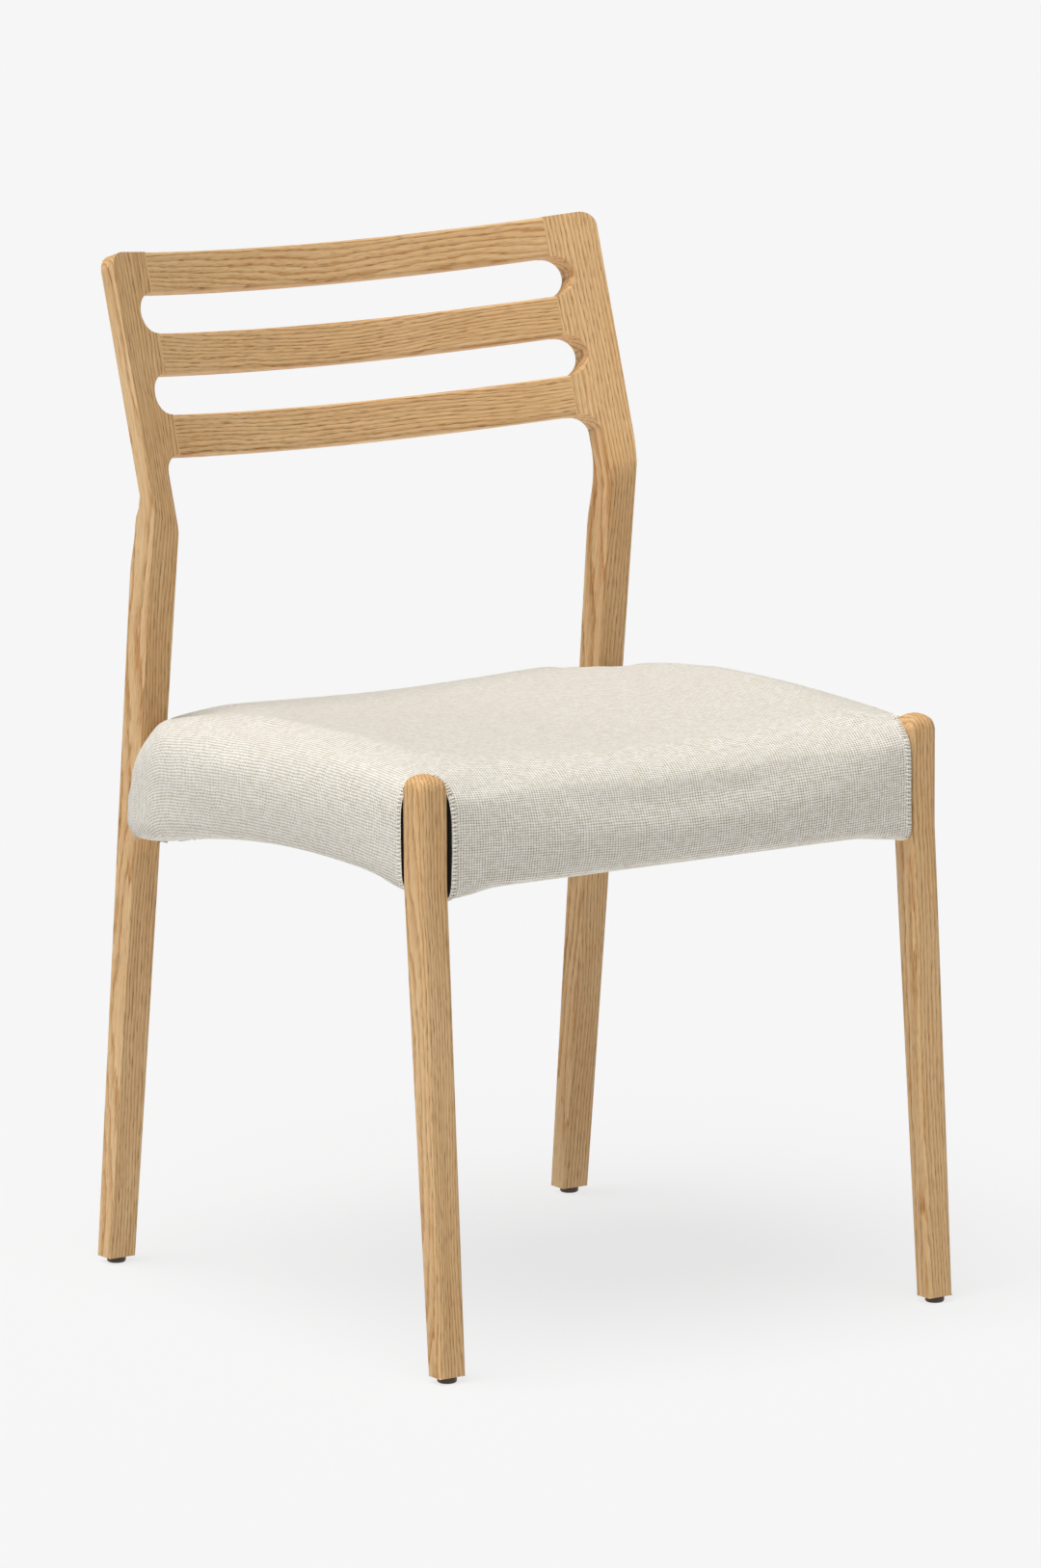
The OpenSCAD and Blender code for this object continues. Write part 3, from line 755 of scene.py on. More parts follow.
def rear_back(x, z):
    """Back face of a rear leg: straight to the calf, in at the neck, then up the leaning post."""
    toe, calf = REAR_TOE_Y + TOE_DEPTH, shin_front(CALF_Z) + CALF_DEPTH
    slope = (calf - toe) / (CALF_Z - GLIDE_TOP)
    start = CALF_Z - CALF_LEAD
    neck = shin_front(NECK_Z) + NECK_DEPTH
    if z <= start:
        return toe + slope * (z - GLIDE_TOP)
    if z <= NECK_Z:
        calf_start = toe + slope * (start - GLIDE_TOP)
        return curve(z, start, calf_start, slope, NECK_Z, neck, NECK_SLOPE)
    foot_z = leaned(x, arc_y(x, BACK_THICK), POST_FOOT)[2]
    foot_y = post_face(x, foot_z, BACK_THICK)
    return curve(z, NECK_Z, neck, NECK_SLOPE, foot_z, foot_y, math.tan(LEAN))


def splay(z):
    """How far a rear leg stands outside its own width, growing to the toe."""
    return TOE_SPLAY * max(0.0, (CALF_Z - z) / (CALF_Z - GLIDE_TOP))


def thigh_back(z):
    """Back face of a front leg above the knee."""
    return KNEE_BACK_Y + THIGH_BACK * (z - KNEE_Z) / (FRONT_TOP - KNEE_Z)


def weigh_edges(piece, weight):
    """Marks how much each edge is to be rounded, from 0 to 1."""
    with editing(piece, "EDGE") as shape:
        layer = shape.edges.layers.float.new("bevel_weight_edge")
        for edge in shape.edges:
            if len(edge.link_faces) == 2 and edge.calc_face_angle() > math.radians(33):
                edge[layer] = weight(*datum((edge.verts[0].co + edge.verts[1].co) / 2), edge)
        bmesh.update_edit_mesh(piece.data)


def finish_oak(piece, node, settings, along):
    """Grain, smoothing and the oak itself for a piece whose shape is ready."""
    store_grain(piece, along)
    smooth_surfaces(piece, 42)
    paint(piece, oak_soaped(settings))
    seated(piece, "oak", node)


def finish_legs(leg, end, settings, grain, **rounding):
    """Mirrors a right leg to the left, then rounds the weighed edges of both and finishes them."""
    left = mirrored(leg, f"{end}_leg_l")
    for piece, side, node in ((left, -1, f"{end}_leg_left"), (leg, 1, f"{end}_leg_right")):
        finish_modifier(piece, "BEVEL", limit_method="WEIGHT", **rounding)
        face_outwards(piece)
        finish_oak(piece, node, settings, lambda *at, side=side: grain(*at, side))


class CHAIR_OT_rear_legs(bpy.types.Operator):
    """Models the bent rear legs with the posts and their six slat stubs"""

    bl_idname = "chair.rear_legs"
    bl_label = "Rear legs"
    bl_options = {"REGISTER", "UNDO"}

    def execute(self, context):
        settings = context.scene.chair_oak
        leg = self.post("rear_leg_r")
        self.bend_and_lean(leg)
        self.shin(leg)
        self.weigh(leg, settings)
        finish_legs(leg, "rear", settings, self.grain, width=settings.post_edge, segments=5)
        return {"FINISHED"}

    def post(self, name):
        """The post and its stubs as a flat board: x sideways, y its thickness, z along the lean."""
        leg = add_block(name, (REAR_IN, 0, POST_FOOT), (REAR_OUT, BACK_THICK, BACK_TOP))
        ends = [end for low in SLAT_LOWS for end in (low, low + SLAT_HEIGHT)]
        with editing(leg):
            for end in ends[2:] + ends[:1]:
                cut((0, 0, end * MM), (0, 0, 1))
            pick(
                leg,
                "faces",
                lambda f: f.normal.x < -0.9
                and any(
                    low < f.calc_center_median().z / MM < low + SLAT_HEIGHT for low in SLAT_LOWS
                ),
            )
            bpy.ops.mesh.extrude_region_move(
                TRANSFORM_OT_translate={"value": ((SLAT_END - REAR_IN) * MM, 0, 0)}
            )
            bpy.ops.mesh.select_all(action="SELECT")
            bpy.ops.mesh.dissolve_limited(angle_limit=math.radians(1))
            windows = (SLAT_PITCH - SLAT_HEIGHT) / 2 - 0.05
            for radius, x, heights in (
                (windows, REAR_IN, [ends[0], ends[3], ends[2], ends[5]]),
                (15, REAR_IN, [ends[4]]),
                (13, REAR_OUT, [BACK_TOP]),
            ):
                pick(
                    leg,
                    "edges",
                    lambda e: all(abs(v.co.x / MM - x) < 0.1 for v in e.verts)
                    and abs(e.verts[0].co.y - e.verts[1].co.y) > 0.01
                    and any(abs(e.verts[0].co.z / MM - h) < 0.1 for h in heights),
                )
                bpy.ops.mesh.bevel(offset=radius * MM, segments=10, affect="EDGES")
            for x in (197, REAR_IN, (REAR_IN + REAR_OUT) / 2):
                cut((x * MM, 0, 0), (1, 0, 0))
        return leg

    def bend_and_lean(self, leg):
        for vertex in leg.data.vertices:
            x, depth, z = vertex.co / MM
            vertex.co = place(*leaned(x, arc_y(x, depth), z))

    def shin(self, leg):
        """Draws the post's foot down into the lower leg, ring by ring, to the toe."""
        with editing(leg, "FACE"):
            pick(
                leg,
                "faces",
                lambda f: f.normal.z < -0.8 and f.calc_center_median().z / MM < POST_FOOT - 15,
            )
            for z in (
                *range(608, 548, -6), 536, 515, 480, 440, 400, 350, 300, 250, 200, 150, 100, 50,
                GLIDE_TOP,
            ):
                bpy.ops.mesh.extrude_region_move()
                shape = bmesh.from_edit_mesh(leg.data)
                for vertex in [v for v in shape.verts if v.select]:
                    x, y, old = datum(vertex.co)
                    x -= splay(old)
                    half = (rear_front(x, old) + rear_back(x, old)) / 2
                    side = rear_front if y < half else rear_back
                    vertex.co = place(x + splay(z), side(x, z), z)
                bmesh.update_edit_mesh(leg.data)
        face_outwards(leg)

    def weigh(self, leg, settings):
        full = settings.post_edge / MM

        def weight(x, y, z, edge):
            ends = [v.co for v in edge.verts]
            if all(abs(v.x / MM - SLAT_END) < 0.2 for v in ends):
                return 0.3 / full
            if all(v.z / MM < GLIDE_TOP + 0.2 for v in ends):
                return 0.8 / full
            if z < 600:
                return settings.leg_edge / MM / full
            if x > REAR_OUT - 14:
                return 1.0
            return settings.slat_edge / MM / full

        weigh_edges(leg, weight)

    def grain(self, x, y, z, side):
        """Straight grain up the leg that follows the bend; each leg is its own board."""
        board = (31, 7, 0) if side > 0 else (118, 64, 1900)
        up = z if z < 605 else 605 + (z - 605) / math.cos(LEAN)
        depth = y - rear_front(abs(x), min(z, 612)) if z < 612 else upright(x, y, z)[1]
        if z >= 612:
            depth -= arc_y(x, 0)
        return Vector((x * side + board[0], depth + board[1], up + board[2])) * MM


class CHAIR_OT_front_legs(bpy.types.Operator):
    """Models the tapered front legs with their domed tops"""

    bl_idname = "chair.front_legs"
    bl_label = "Front legs"
    bl_options = {"REGISTER", "UNDO"}

    def execute(self, context):
        settings = context.scene.chair_oak
        leg = add_block("front_leg_r", (FRONT_IN, 0, GLIDE_TOP), (FRONT_OUT, 20, 60))
        self.shape(leg)
        self.weigh(leg, settings)
        finish_legs(leg, "front", settings, self.grain, width=settings.crown, segments=6)
        return {"FINISHED"}

    def front(self, z):
        t = min(1.0, (z - GLIDE_TOP) / (KNEE_Z - GLIDE_TOP))
        return mix(FRONT_TOE_Y, FRONT_FACE_Y, t)

    def back(self, z):
        if z < KNEE_Z:
            t = (z - GLIDE_TOP) / (KNEE_Z - GLIDE_TOP)
            return mix(FRONT_TOE_Y + TOE_DEPTH, KNEE_BACK_Y, t)
        return thigh_back(z)

    def inner(self, z):
        return FRONT_IN + INNER_TAPER * max(0.0, (KNEE_Z - z) / (KNEE_Z - GLIDE_TOP))

    def set_ring(self, verts, z):
        middle_x, middle_y = (FRONT_IN + FRONT_OUT) / 2, sum(v.co.y for v in verts) / len(verts)
        for vertex in verts:
            x = self.inner(z) if vertex.co.x / MM < middle_x else FRONT_OUT
            y = self.front(z) if vertex.co.y < middle_y else self.back(z)
            vertex.co = place(x, y, z)

    def shape(self, leg):
        with editing(leg, "FACE"):
            shape = bmesh.from_edit_mesh(leg.data)
            low = [v for v in shape.verts if v.co.z < 0.03]
            self.set_ring(low, GLIDE_TOP)
            pick(leg, "faces", lambda f: f.normal.z > 0.8)
            shape = bmesh.from_edit_mesh(leg.data)
            self.set_ring([v for v in shape.verts if v.select], 60)
            for z in (130, 200, 270, 330, 352, KNEE_Z, 390, 408, 424, 440, FRONT_TOP):
                bpy.ops.mesh.extrude_region_move()
                shape = bmesh.from_edit_mesh(leg.data)
                self.set_ring([v for v in shape.verts if v.select], z)
                bmesh.update_edit_mesh(leg.data)
        face_outwards(leg)

    def weigh(self, leg, settings):
        thin = settings.leg_edge / settings.crown

        def weight(x, y, z, edge):
            ends = [v.co for v in edge.verts]
            if all(v.z / MM > FRONT_TOP - 1 for v in ends):
                return 1.0
            if all(v.z / MM < GLIDE_TOP + 0.2 for v in ends):
                return 0.8 * MM / settings.crown
            if z > 440:
                return 0.85
            if x > (FRONT_IN + FRONT_OUT) / 2 and y < self.front(z) + 5:
                return mix(thin, 0.7, ramp((z - 200) / (KNEE_Z - 200)))
            return 0.45 if z > 424 else thin

        weigh_edges(leg, weight)

    def grain(self, x, y, z, side):
        board = (-60, 13, 700) if side > 0 else (42, 95, 2600)
        return Vector((x * side + board[0], y - self.front(z) + board[1], z + board[2])) * MM


class CHAIR_OT_slats(bpy.types.Operator):
    """Models the three curved slats of the back by spinning a rounded section"""

    bl_idname = "chair.slats"
    bl_label = "Back slats"
    bl_options = {"REGISTER", "UNDO"}

    def execute(self, context):
        settings = context.scene.chair_oak
        names = ("top_slat", "middle_slat", "lower_slat")
        for number, (node, low) in enumerate(zip(names, SLAT_LOWS)):
            piece = self.spun(node + "_oak", low, settings)
            board = Vector((-18 + 47 * number, 33 - 29 * number, 4000 + 800 * number))
            finish_oak(
                piece, node, settings, lambda *at, low=low, board=board: self.grain(*at, low, board)
            )
        return {"FINISHED"}

    def spun(self, name, low, settings):
        nothing_selected()
        start = math.radians(-19.5)
        centre = Vector((0, ARC_BACK - ARC_RADIUS, low + SLAT_HEIGHT / 2))
        reach = ARC_RADIUS + BACK_THICK / 2
        at = centre + reach * Vector((math.sin(start), math.cos(start), 0))
        bpy.ops.mesh.primitive_plane_add(
            size=1, location=at * MM, rotation=(0, math.pi / 2, -start)
        )
        piece = bpy.context.object
        piece.scale = (SLAT_HEIGHT * MM, BACK_THICK * MM, 1)
        piece = new_piece(name)
        with editing(piece):
            bpy.ops.mesh.select_all(action="SELECT")
            bpy.ops.mesh.bevel(offset=settings.slat_edge, segments=5, affect="VERTICES")
            bpy.ops.mesh.select_all(action="SELECT")
            bpy.ops.mesh.spin(steps=52, angle=-2 * start, center=centre * MM, axis=(0, 0, 1))
            edge = SLAT_END * MM
            cut((edge, 0, 0), (1, 0, 0), use_fill=True, clear_outer=True)
            cut((-edge, 0, 0), (1, 0, 0), use_fill=True, clear_inner=True)
            for side in (1, -1):
                pick(piece, "faces", lambda f: all(abs(v.co.x - side * edge) < 1e-5 for v in f.verts))
                bpy.ops.mesh.inset(thickness=0.0003, depth=0)
                bpy.ops.transform.translate(value=(side * 0.00005, 0, 0))
        for vertex in piece.data.vertices:
            vertex.co = place(*leaned(*(vertex.co / MM)))
        face_outwards(piece)
        if piece.dimensions.x < 0.37:
            raise RuntimeError(f"{name}: the section was spun the wrong way")
        return piece

    def grain(self, x, y, z, low, board):
        """Straight grain along the slat."""
        x, y, z = upright(x, y, z)
        from_centre = Vector((x, y - ARC_BACK + ARC_RADIUS))
        along = math.atan2(from_centre.x, from_centre.y) * ARC_RADIUS
        return (Vector((z - low, from_centre.length - ARC_RADIUS, along)) + board) * MM


# ---- The seat ----


def deep(y):
    return (y - PAD_FRONT) / (PAD_REAR - PAD_FRONT)


def hump(t):
    return 4 * t * (1 - t)


def rounded_end(radius, y):
    """How far a rounding of this radius at the rear end of a wing has turned at y."""
    back = y - (WING_REAR - radius)
    if radius < 1 or back <= 0:
        return 0.0
    return radius - math.sqrt(max(0.0, radius**2 - min(back, radius) ** 2))


def pad_low(x, y):
    """Height of the pad's lower edge: it arches between the legs at the sides."""
    t = deep(y)
    corner = 5.5 * ramp((abs(x) - 165) / 50) * ramp(1 - 4.5 * t)
    turned = rounded_end(22 * ramp((abs(x) - WING_FROM) / 20), y)
    return mix(LOW_FRONT, LOW_REAR, t) + LOW_ARCH * hump(t) - corner + turned


def pad_high(x, y):
    """Height of the saddle: hollow across the middle, arched along the sides."""
    t = deep(y)
    hollow = 15 * (mix(0.55, 0.25, t) + 0.6 * hump(t)) * (1 - abs(x / PAD_SIDE) ** 1.5)
    turned = rounded_end(56 * ramp((abs(x) - WING_FROM) / 34), y)
    return mix(HIGH_FRONT, HIGH_REAR, t) + HIGH_ARCH * hump(t) - hollow - turned


PAD_EDGE, PAD_UNDER, PAD_DEEP = 26, 12, 90
# Evening out the inflated mesh draws its edges in by about this much
DRAWN_IN = 2.5
# The slots round the front legs are widest halfway between these heights
SLOT_FOOT, SLOT_HEAD = 366, 450
STITCH_PITCH = 2.1


def pad_block(name, half, front, rear, side_edge, rear_edge):
    """A cube, finely divided and rounded off, then raised onto the saddle's two surfaces."""
    block = add_block(name, (-half, front, 0), (half, rear, PAD_DEEP))
    with editing(block):
        bpy.ops.mesh.select_all(action="SELECT")
        bpy.ops.mesh.subdivide(number_cuts=26)
    for vertex in block.data.vertices:
        x, y, z = vertex.co / MM
        soft = mix(PAD_UNDER, PAD_EDGE, ramp(z / PAD_DEEP))
        round_x, round_z = min(soft, side_edge), PAD_EDGE if z > PAD_DEEP / 2 else PAD_UNDER
        round_y = min(soft, rear_edge) if y > 0 else soft
        core = Vector(
            (
                max(round_x - half, min(half - round_x, x)),
                max(front + round_y, min(rear - round_y, y)),
                max(PAD_UNDER, min(PAD_DEEP - PAD_EDGE, z)),
            )
        )
        out = Vector(((x - core.x) / round_x, (y - core.y) / round_y, (z - core.z) / round_z))
        if out.length > 0:
            out.normalize()
        x, y, z = core.x + out.x * round_x, core.y + out.y * round_y, core.z + out.z * round_z
        height = mix(pad_low(x, y) - DRAWN_IN, pad_high(x, y), z / PAD_DEEP)
        if rear < PAD_REAR - 1:
            # The end of a wing leans with the leg that it meets, and laps a little round it
            lap = 6 * ramp((abs(x) - 222) / 12)
            y += (shin_front(height) + 1.5 + lap - WING_REAR) * ramp((y - 150) / 37)
        vertex.co = place(x, y, height)
    return block


def leg_slot(name, side, slack, crown):
    """A lens-shaped slot round a front leg, for cutting the cloth: tight below, and closing over
    the leg's domed top."""

    def gap(z):
        t = max(0.0, min(1.0, (z - SLOT_FOOT) / (SLOT_HEAD - SLOT_FOOT)))
        up = max(0.0, min(crown, z - (FRONT_TOP - crown)))
        dome = crown - math.sqrt(crown**2 - up**2)
        return slack + 1.1 * math.sin(math.pi * t) ** 0.8 - 0.9 * dome

    slot = add_block(name, (FRONT_IN, 0, 330), (FRONT_OUT + 40, 60, 500))
    with editing(slot, "EDGE"):
        pick(
            slot,
            "edges",
            lambda e: abs(e.verts[0].co.z - e.verts[1].co.z) > 0.1
            and e.verts[0].co.x / MM < FRONT_IN + 1
            and e.verts[0].co.y / MM > 50,
        )
        bpy.ops.mesh.bevel(offset=0.005, segments=5, affect="EDGES")
        for z in range(360, 466, 5):
            cut((0, 0, z * MM), (0, 0, 1))
    for vertex in slot.data.vertices:
        x, y, z = vertex.co / MM
        y = y - 60 + thigh_back(z) + gap(z) if y > 5 else PAD_FRONT - 40
        x = x - gap(z) if x < FRONT_IN + 6 else x
        vertex.co = place(side * x, y, z)
    face_outwards(slot)
    return slot


def carve(piece, cutter):
    """Cuts one mesh out of another and takes the cutter away."""
    finish_modifier(
        piece, "BOOLEAN", operation="DIFFERENCE", solver="EXACT", object=cutter,
        material_mode="TRANSFER",
    )
    bpy.data.objects.remove(cutter)


class CHAIR_OT_seat(bpy.types.Operator):
    """Models the padded seat: the foam, the woven cover and its overcast leg openings"""

    bl_idname = "chair.seat"
    bl_label = "Seat pad and cover"
    bl_options = {"REGISTER", "UNDO"}

    def execute(self, context):
        settings = context.scene.chair_seat
        pad = self.pad(settings)
        self.inflate(pad, settings)
        finish_modifier(pad, "SMOOTH", factor=0.5, iterations=2)
        foam = copy_of(pad, "seat_foam_block")
        self.foam(foam, settings)
        finish_modifier(pad, "SUBSURF", levels=1, render_levels=1)
        pad.name = pad.data.name = "seat_cover_cloth"
        self.cover(pad, settings)
        return {"FINISHED"}

    def pad(self, settings):
        """The pad as one closed form: the saddle and the part that reaches back between the legs."""
        pad = pad_block("pad", PAD_SIDE, PAD_FRONT, WING_REAR, PAD_EDGE, 9)
        rear = pad_block("pad_rear", REAR_IN - 1, 60, PAD_REAR, 8, 13)
        only(pad)
        rear.select_set(True)
        bpy.ops.object.join()
        finish_modifier(pad, "REMESH", mode="VOXEL", voxel_size=settings.voxel)
        return pad

    def inflate(self, pad, settings):
        """Lets the cloth swell under the padding, held where it is stapled or meets a leg."""
        held = pad.vertex_groups.new(name="held")
        start = [v.co.copy() for v in pad.data.vertices]
        for vertex in pad.data.vertices:
            x, y, z = datum(vertex.co)
            at_leg = abs(x) > FRONT_IN - 5 and y < -189
            at_post = abs(x) > REAR_IN - 8 and y > 172
            under = z < pad_low(x, y) + 9
            if at_leg or at_post or under:
                held.add([vertex.index], 1.0, "REPLACE")
        only(pad)
        cloth = pad.modifiers.new("Cloth", "CLOTH")
        cloth.settings.quality = 4
        cloth.settings.mass = 0.3
        cloth.settings.tension_stiffness = cloth.settings.compression_stiffness = 20
        cloth.settings.bending_stiffness = 1.5
        cloth.settings.use_pressure = True
        cloth.settings.uniform_pressure_force = 4
        cloth.settings.vertex_group_mass = "held"
        cloth.settings.effector_weights.gravity = 0
        cloth.collision_settings.use_collision = False
        cloth.point_cache.frame_start, cloth.point_cache.frame_end = 1, settings.steps
        for step in range(1, settings.steps + 1):
            bpy.context.scene.frame_set(step)
        bpy.ops.object.modifier_apply(modifier=cloth.name)
        bpy.context.scene.frame_set(1)
        for vertex, before in zip(pad.data.vertices, start):
            moved = vertex.co - before
            if moved.length > settings.puff:
                vertex.co = before + moved * (settings.puff / moved.length)
        pad.vertex_groups.clear()

    def foam(self, foam, settings):
        """The foam fills the cover and is cut away round the legs, the rails and the panel."""
        with editing(foam):
            bpy.ops.mesh.select_all(action="SELECT")
            bpy.ops.transform.shrink_fatten(value=-(settings.thickness + 0.0006))
        shift, crown = DATUM_Y / MM, bpy.context.scene.chair_oak.crown / MM
        for side in (1, -1):
            carve(foam, leg_slot("slot", side, 3.5, crown))
            ends = sorted((side * 211, side * 233))
            carve(
                foam,
                add_block("rail_room", (ends[0], -200 + shift, 300), (ends[1], 192 + shift, 438)),
            )
        for name, low, high in (
            ("panel_room", (-213, -197, 300), (213, 187, 413.5)),
            ("front_room", (-216.5, -216.5, 300), (216.5, -195, 428.5)),
            ("rear_room", (-206, 185, 300), (206, 206.5, 416.5)),
        ):
            low, high = Vector(low) + Vector((0, shift, 0)), Vector(high) + Vector((0, shift, 0))
            carve(foam, add_block(name, low, high))
        face_outwards(foam)
        smooth_surfaces(foam, 50)
        paint(foam, foam_cut())
        seated(foam, "foam", "seat_foam")

    def cover(self, cover, settings):
        cloth, slot_shade = woven_boucle(settings), black_felt()
        crown = bpy.context.scene.chair_oak.crown / MM
        paint(cover, cloth)
        for side in (1, -1):
            slot = leg_slot("slot", side, 0.3, crown)
            # The slot walls take the black painted shade, so that the openings round the legs look dark
            paint(slot, slot_shade)
            carve(cover, slot)
        rims = self.rims(cover)
        with editing(cover, "FACE"):
            pick(cover, "faces", self.hidden_below)
            bpy.ops.mesh.delete(type="FACE")
        finish_modifier(
            cover, "SOLIDIFY", thickness=settings.thickness, offset=-1, use_even_offset=False
        )
        only(cover)
        bpy.ops.object.shade_smooth_by_angle(angle=math.radians(50))
        self.unfold(cover)
        stitches = self.overcast(rims, settings)
        seated(cover, "seat_cloth", "seat_cover")
        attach(stitches, "root")

    def hidden_below(self, face):
        """Cloth that isn't there: the underside, farther in than the turned-under margin."""
        x, y, z = datum(face.calc_center_median())
        inset = min(PAD_SIDE - abs(x), y - PAD_FRONT, PAD_REAR - y)
        return face.normal.z < -0.3 and z < pad_low(x, y) + 6 and inset > TURN_UNDER

    def rims(self, cover):
        """The edges of the leg openings, each as a line of points with the surface's normals."""
        lines = []
        shape = bmesh.new()
        shape.from_mesh(cover.data)
        rim = {}
        for edge in shape.edges:
            faces = edge.link_faces
            if len(faces) == 2 and faces[0].material_index != faces[1].material_index:
                skin = min(faces, key=lambda f: f.material_index)
                for a, b in (edge.verts, reversed(edge.verts)):
                    rim.setdefault(a.index, []).append((b.index, skin.normal.copy()))
        todo = set(rim)
        points = {v.index: v.co.copy() for v in shape.verts if v.index in rim}
        shape.free()
        while todo:
            ends = [i for i in todo if len(rim[i]) == 1]
            here = min(ends or todo)
            line = []
            while here is not None:
                todo.discard(here)
                normal = sum((n for _, n in rim[here]), Vector()).normalized()
                line.append((points[here], normal))
                here = next((i for i, _ in rim[here] if i in todo), None)
            if len(line) > 20:
                lines.append(line)
        if len(lines) < 2:
            raise RuntimeError("the leg openings have no rim")
        return lines

    def unfold(self, cover):
        """Lays the weave over the seat as the cloth was cut: across, and from front to back."""
        weave = cover.data.uv_layers.new(name="weave")
        reach = PAD_EDGE * math.pi / 2
        centre, half_deep = (PAD_FRONT + PAD_REAR) / 2, (PAD_REAR - PAD_FRONT) / 2

        def run(inset, drop, half):
            if drop >= PAD_EDGE:
                return half - PAD_EDGE + reach + drop - PAD_EDGE
            if inset >= PAD_EDGE:
                return half - inset
            return half - PAD_EDGE + PAD_EDGE * math.atan2(PAD_EDGE - inset, PAD_EDGE - drop)

        for face in cover.data.polygons:
            sideways = abs(face.normal.x) * 1.1 > abs(face.normal.y)
            below = face.normal.z < -0.75
            for loop in face.loop_indices:
                x, y, z = datum(cover.data.vertices[cover.data.loops[loop].vertex_index].co)
                drop = max(0.0, pad_high(x, y) + 1 - z)
                u, v = x, y
                if sideways and not below:
                    u = math.copysign(run(PAD_SIDE - abs(x), drop, PAD_SIDE), x)
                elif not below:
                    from_centre = run(half_deep - abs(y - centre), drop, half_deep)
                    v = centre + math.copysign(from_centre, y - centre)
                weave.data[loop].uv = (u * MM, v * MM)

    def overcast(self, rims, settings):
        """Loops of yarn over the cloth's edge round each leg opening, one stitch copied along."""
        stitch = self.stitch()
        stitch_mesh = [v.co.copy() for v in stitch.data.vertices]
        faces = [tuple(p.vertices) for p in stitch.data.polygons]
        bpy.data.objects.remove(stitch)
        verts, polygons = [], []
        for line in rims:
            leg_side = 1 if line[0][0].x > 0 else -1
            leg = place(leg_side * (FRONT_IN + FRONT_OUT) / 2, (FRONT_FACE_Y + KNEE_BACK_Y) / 2, 0)
            walked, last = 0.0, line[0][0]
            for (point, normal), (after, _) in zip(line[2:-2], line[4:]):
                walked += (point - last).length
                last = point
                if walked < STITCH_PITCH * MM:
                    continue
                walked = 0.0
                along = (after - point).normalized()
                away = along.cross(normal).normalized()
                flat = Vector((leg.x - point.x, leg.y - point.y, 0))
                if away.dot(flat) > 0:
                    away = -away
                turn = Matrix((along, away, normal)).transposed()
                base = len(verts)
                verts += [point + turn @ co for co in stitch_mesh]
                polygons += [tuple(base + i for i in face) for face in faces]
        mesh = bpy.data.meshes.new("seat_cover_overcast")
        mesh.from_pydata(verts, [], polygons)
        piece = bpy.data.objects.new("seat_cover_overcast", mesh)
        bpy.context.scene.collection.objects.link(piece)
        face_outwards(piece, merge=False)
        only(piece)
        bpy.ops.object.shade_smooth()
        paint(piece, overcast_yarn(settings))
        return piece

    def stitch(self):
        """One stitch: x along the edge, y away from the leg, z out of the cloth."""
        nothing_selected()
        bpy.ops.mesh.primitive_circle_add(
            vertices=6, radius=0.0007, fill_type="NGON", location=(0, 0.0056, -0.0006),
            rotation=(math.pi / 2, 0, 0),
        )
        stitch = new_piece("stitch")
        with editing(stitch, "FACE"):
            bpy.ops.mesh.select_all(action="SELECT")
            for y, z in (
                (-0.0016, 0.0010), (-0.0018, 0.0002), (-0.0014, -0.0004), (-0.0004, -0.0010),
                (0.0004, -0.0014), (0.0009, -0.0014),
            ):
                bpy.ops.mesh.extrude_region_move(TRANSFORM_OT_translate={"value": (0.00018, y, z)})
        return stitch


class CHAIR_OT_lining(bpy.types.Operator):
    """Models the black lining stretched under the seat"""

    bl_idname = "chair.lining"
    bl_label = "Underside lining"
    bl_options = {"REGISTER", "UNDO"}

    def execute(self, context):
        low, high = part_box("dust_cover")
        nothing_selected()
        bpy.ops.mesh.primitive_grid_add(x_subdivisions=60, y_subdivisions=56, size=1)
        bpy.context.object.scale = (high.x - low.x, high.y - low.y, 1)
        bpy.context.object.location = (0, (low.y + high.y) / 2, 0)
        sheet = new_piece("seat_lining")
        with editing(sheet, "FACE"):
            pick(sheet, "faces", self.at_a_leg)
            bpy.ops.mesh.delete(type="FACE")
        for vertex in sheet.data.vertices:
            x, y, _ = datum(vertex.co)
            edge = min(high.x / MM - abs(x), (vertex.co.y - low.y) / MM, (high.y - vertex.co.y) / MM)
            sag = 2.2 * ramp(edge / 90) + 0.35 * math.sin(x * 0.16) * math.cos(y * 0.11)
            vertex.co.z = (pad_low(x, y) - 1.6 - sag) * MM
        finish_modifier(sheet, "SOLIDIFY", thickness=0.0006, offset=1)
        face_outwards(sheet)
        smooth_surfaces(sheet, 60)
        paint(sheet, lining_cloth())
        seated(sheet, "lining", "dust_cover")
        return {"FINISHED"}

    def at_a_leg(self, face):
        x, y, _ = datum(face.calc_center_median())
        return (abs(x) > FRONT_IN - 7 and y < KNEE_BACK_Y + 8) or (
            abs(x) > REAR_IN - 7 and y > shin_front(345) - 20
        )


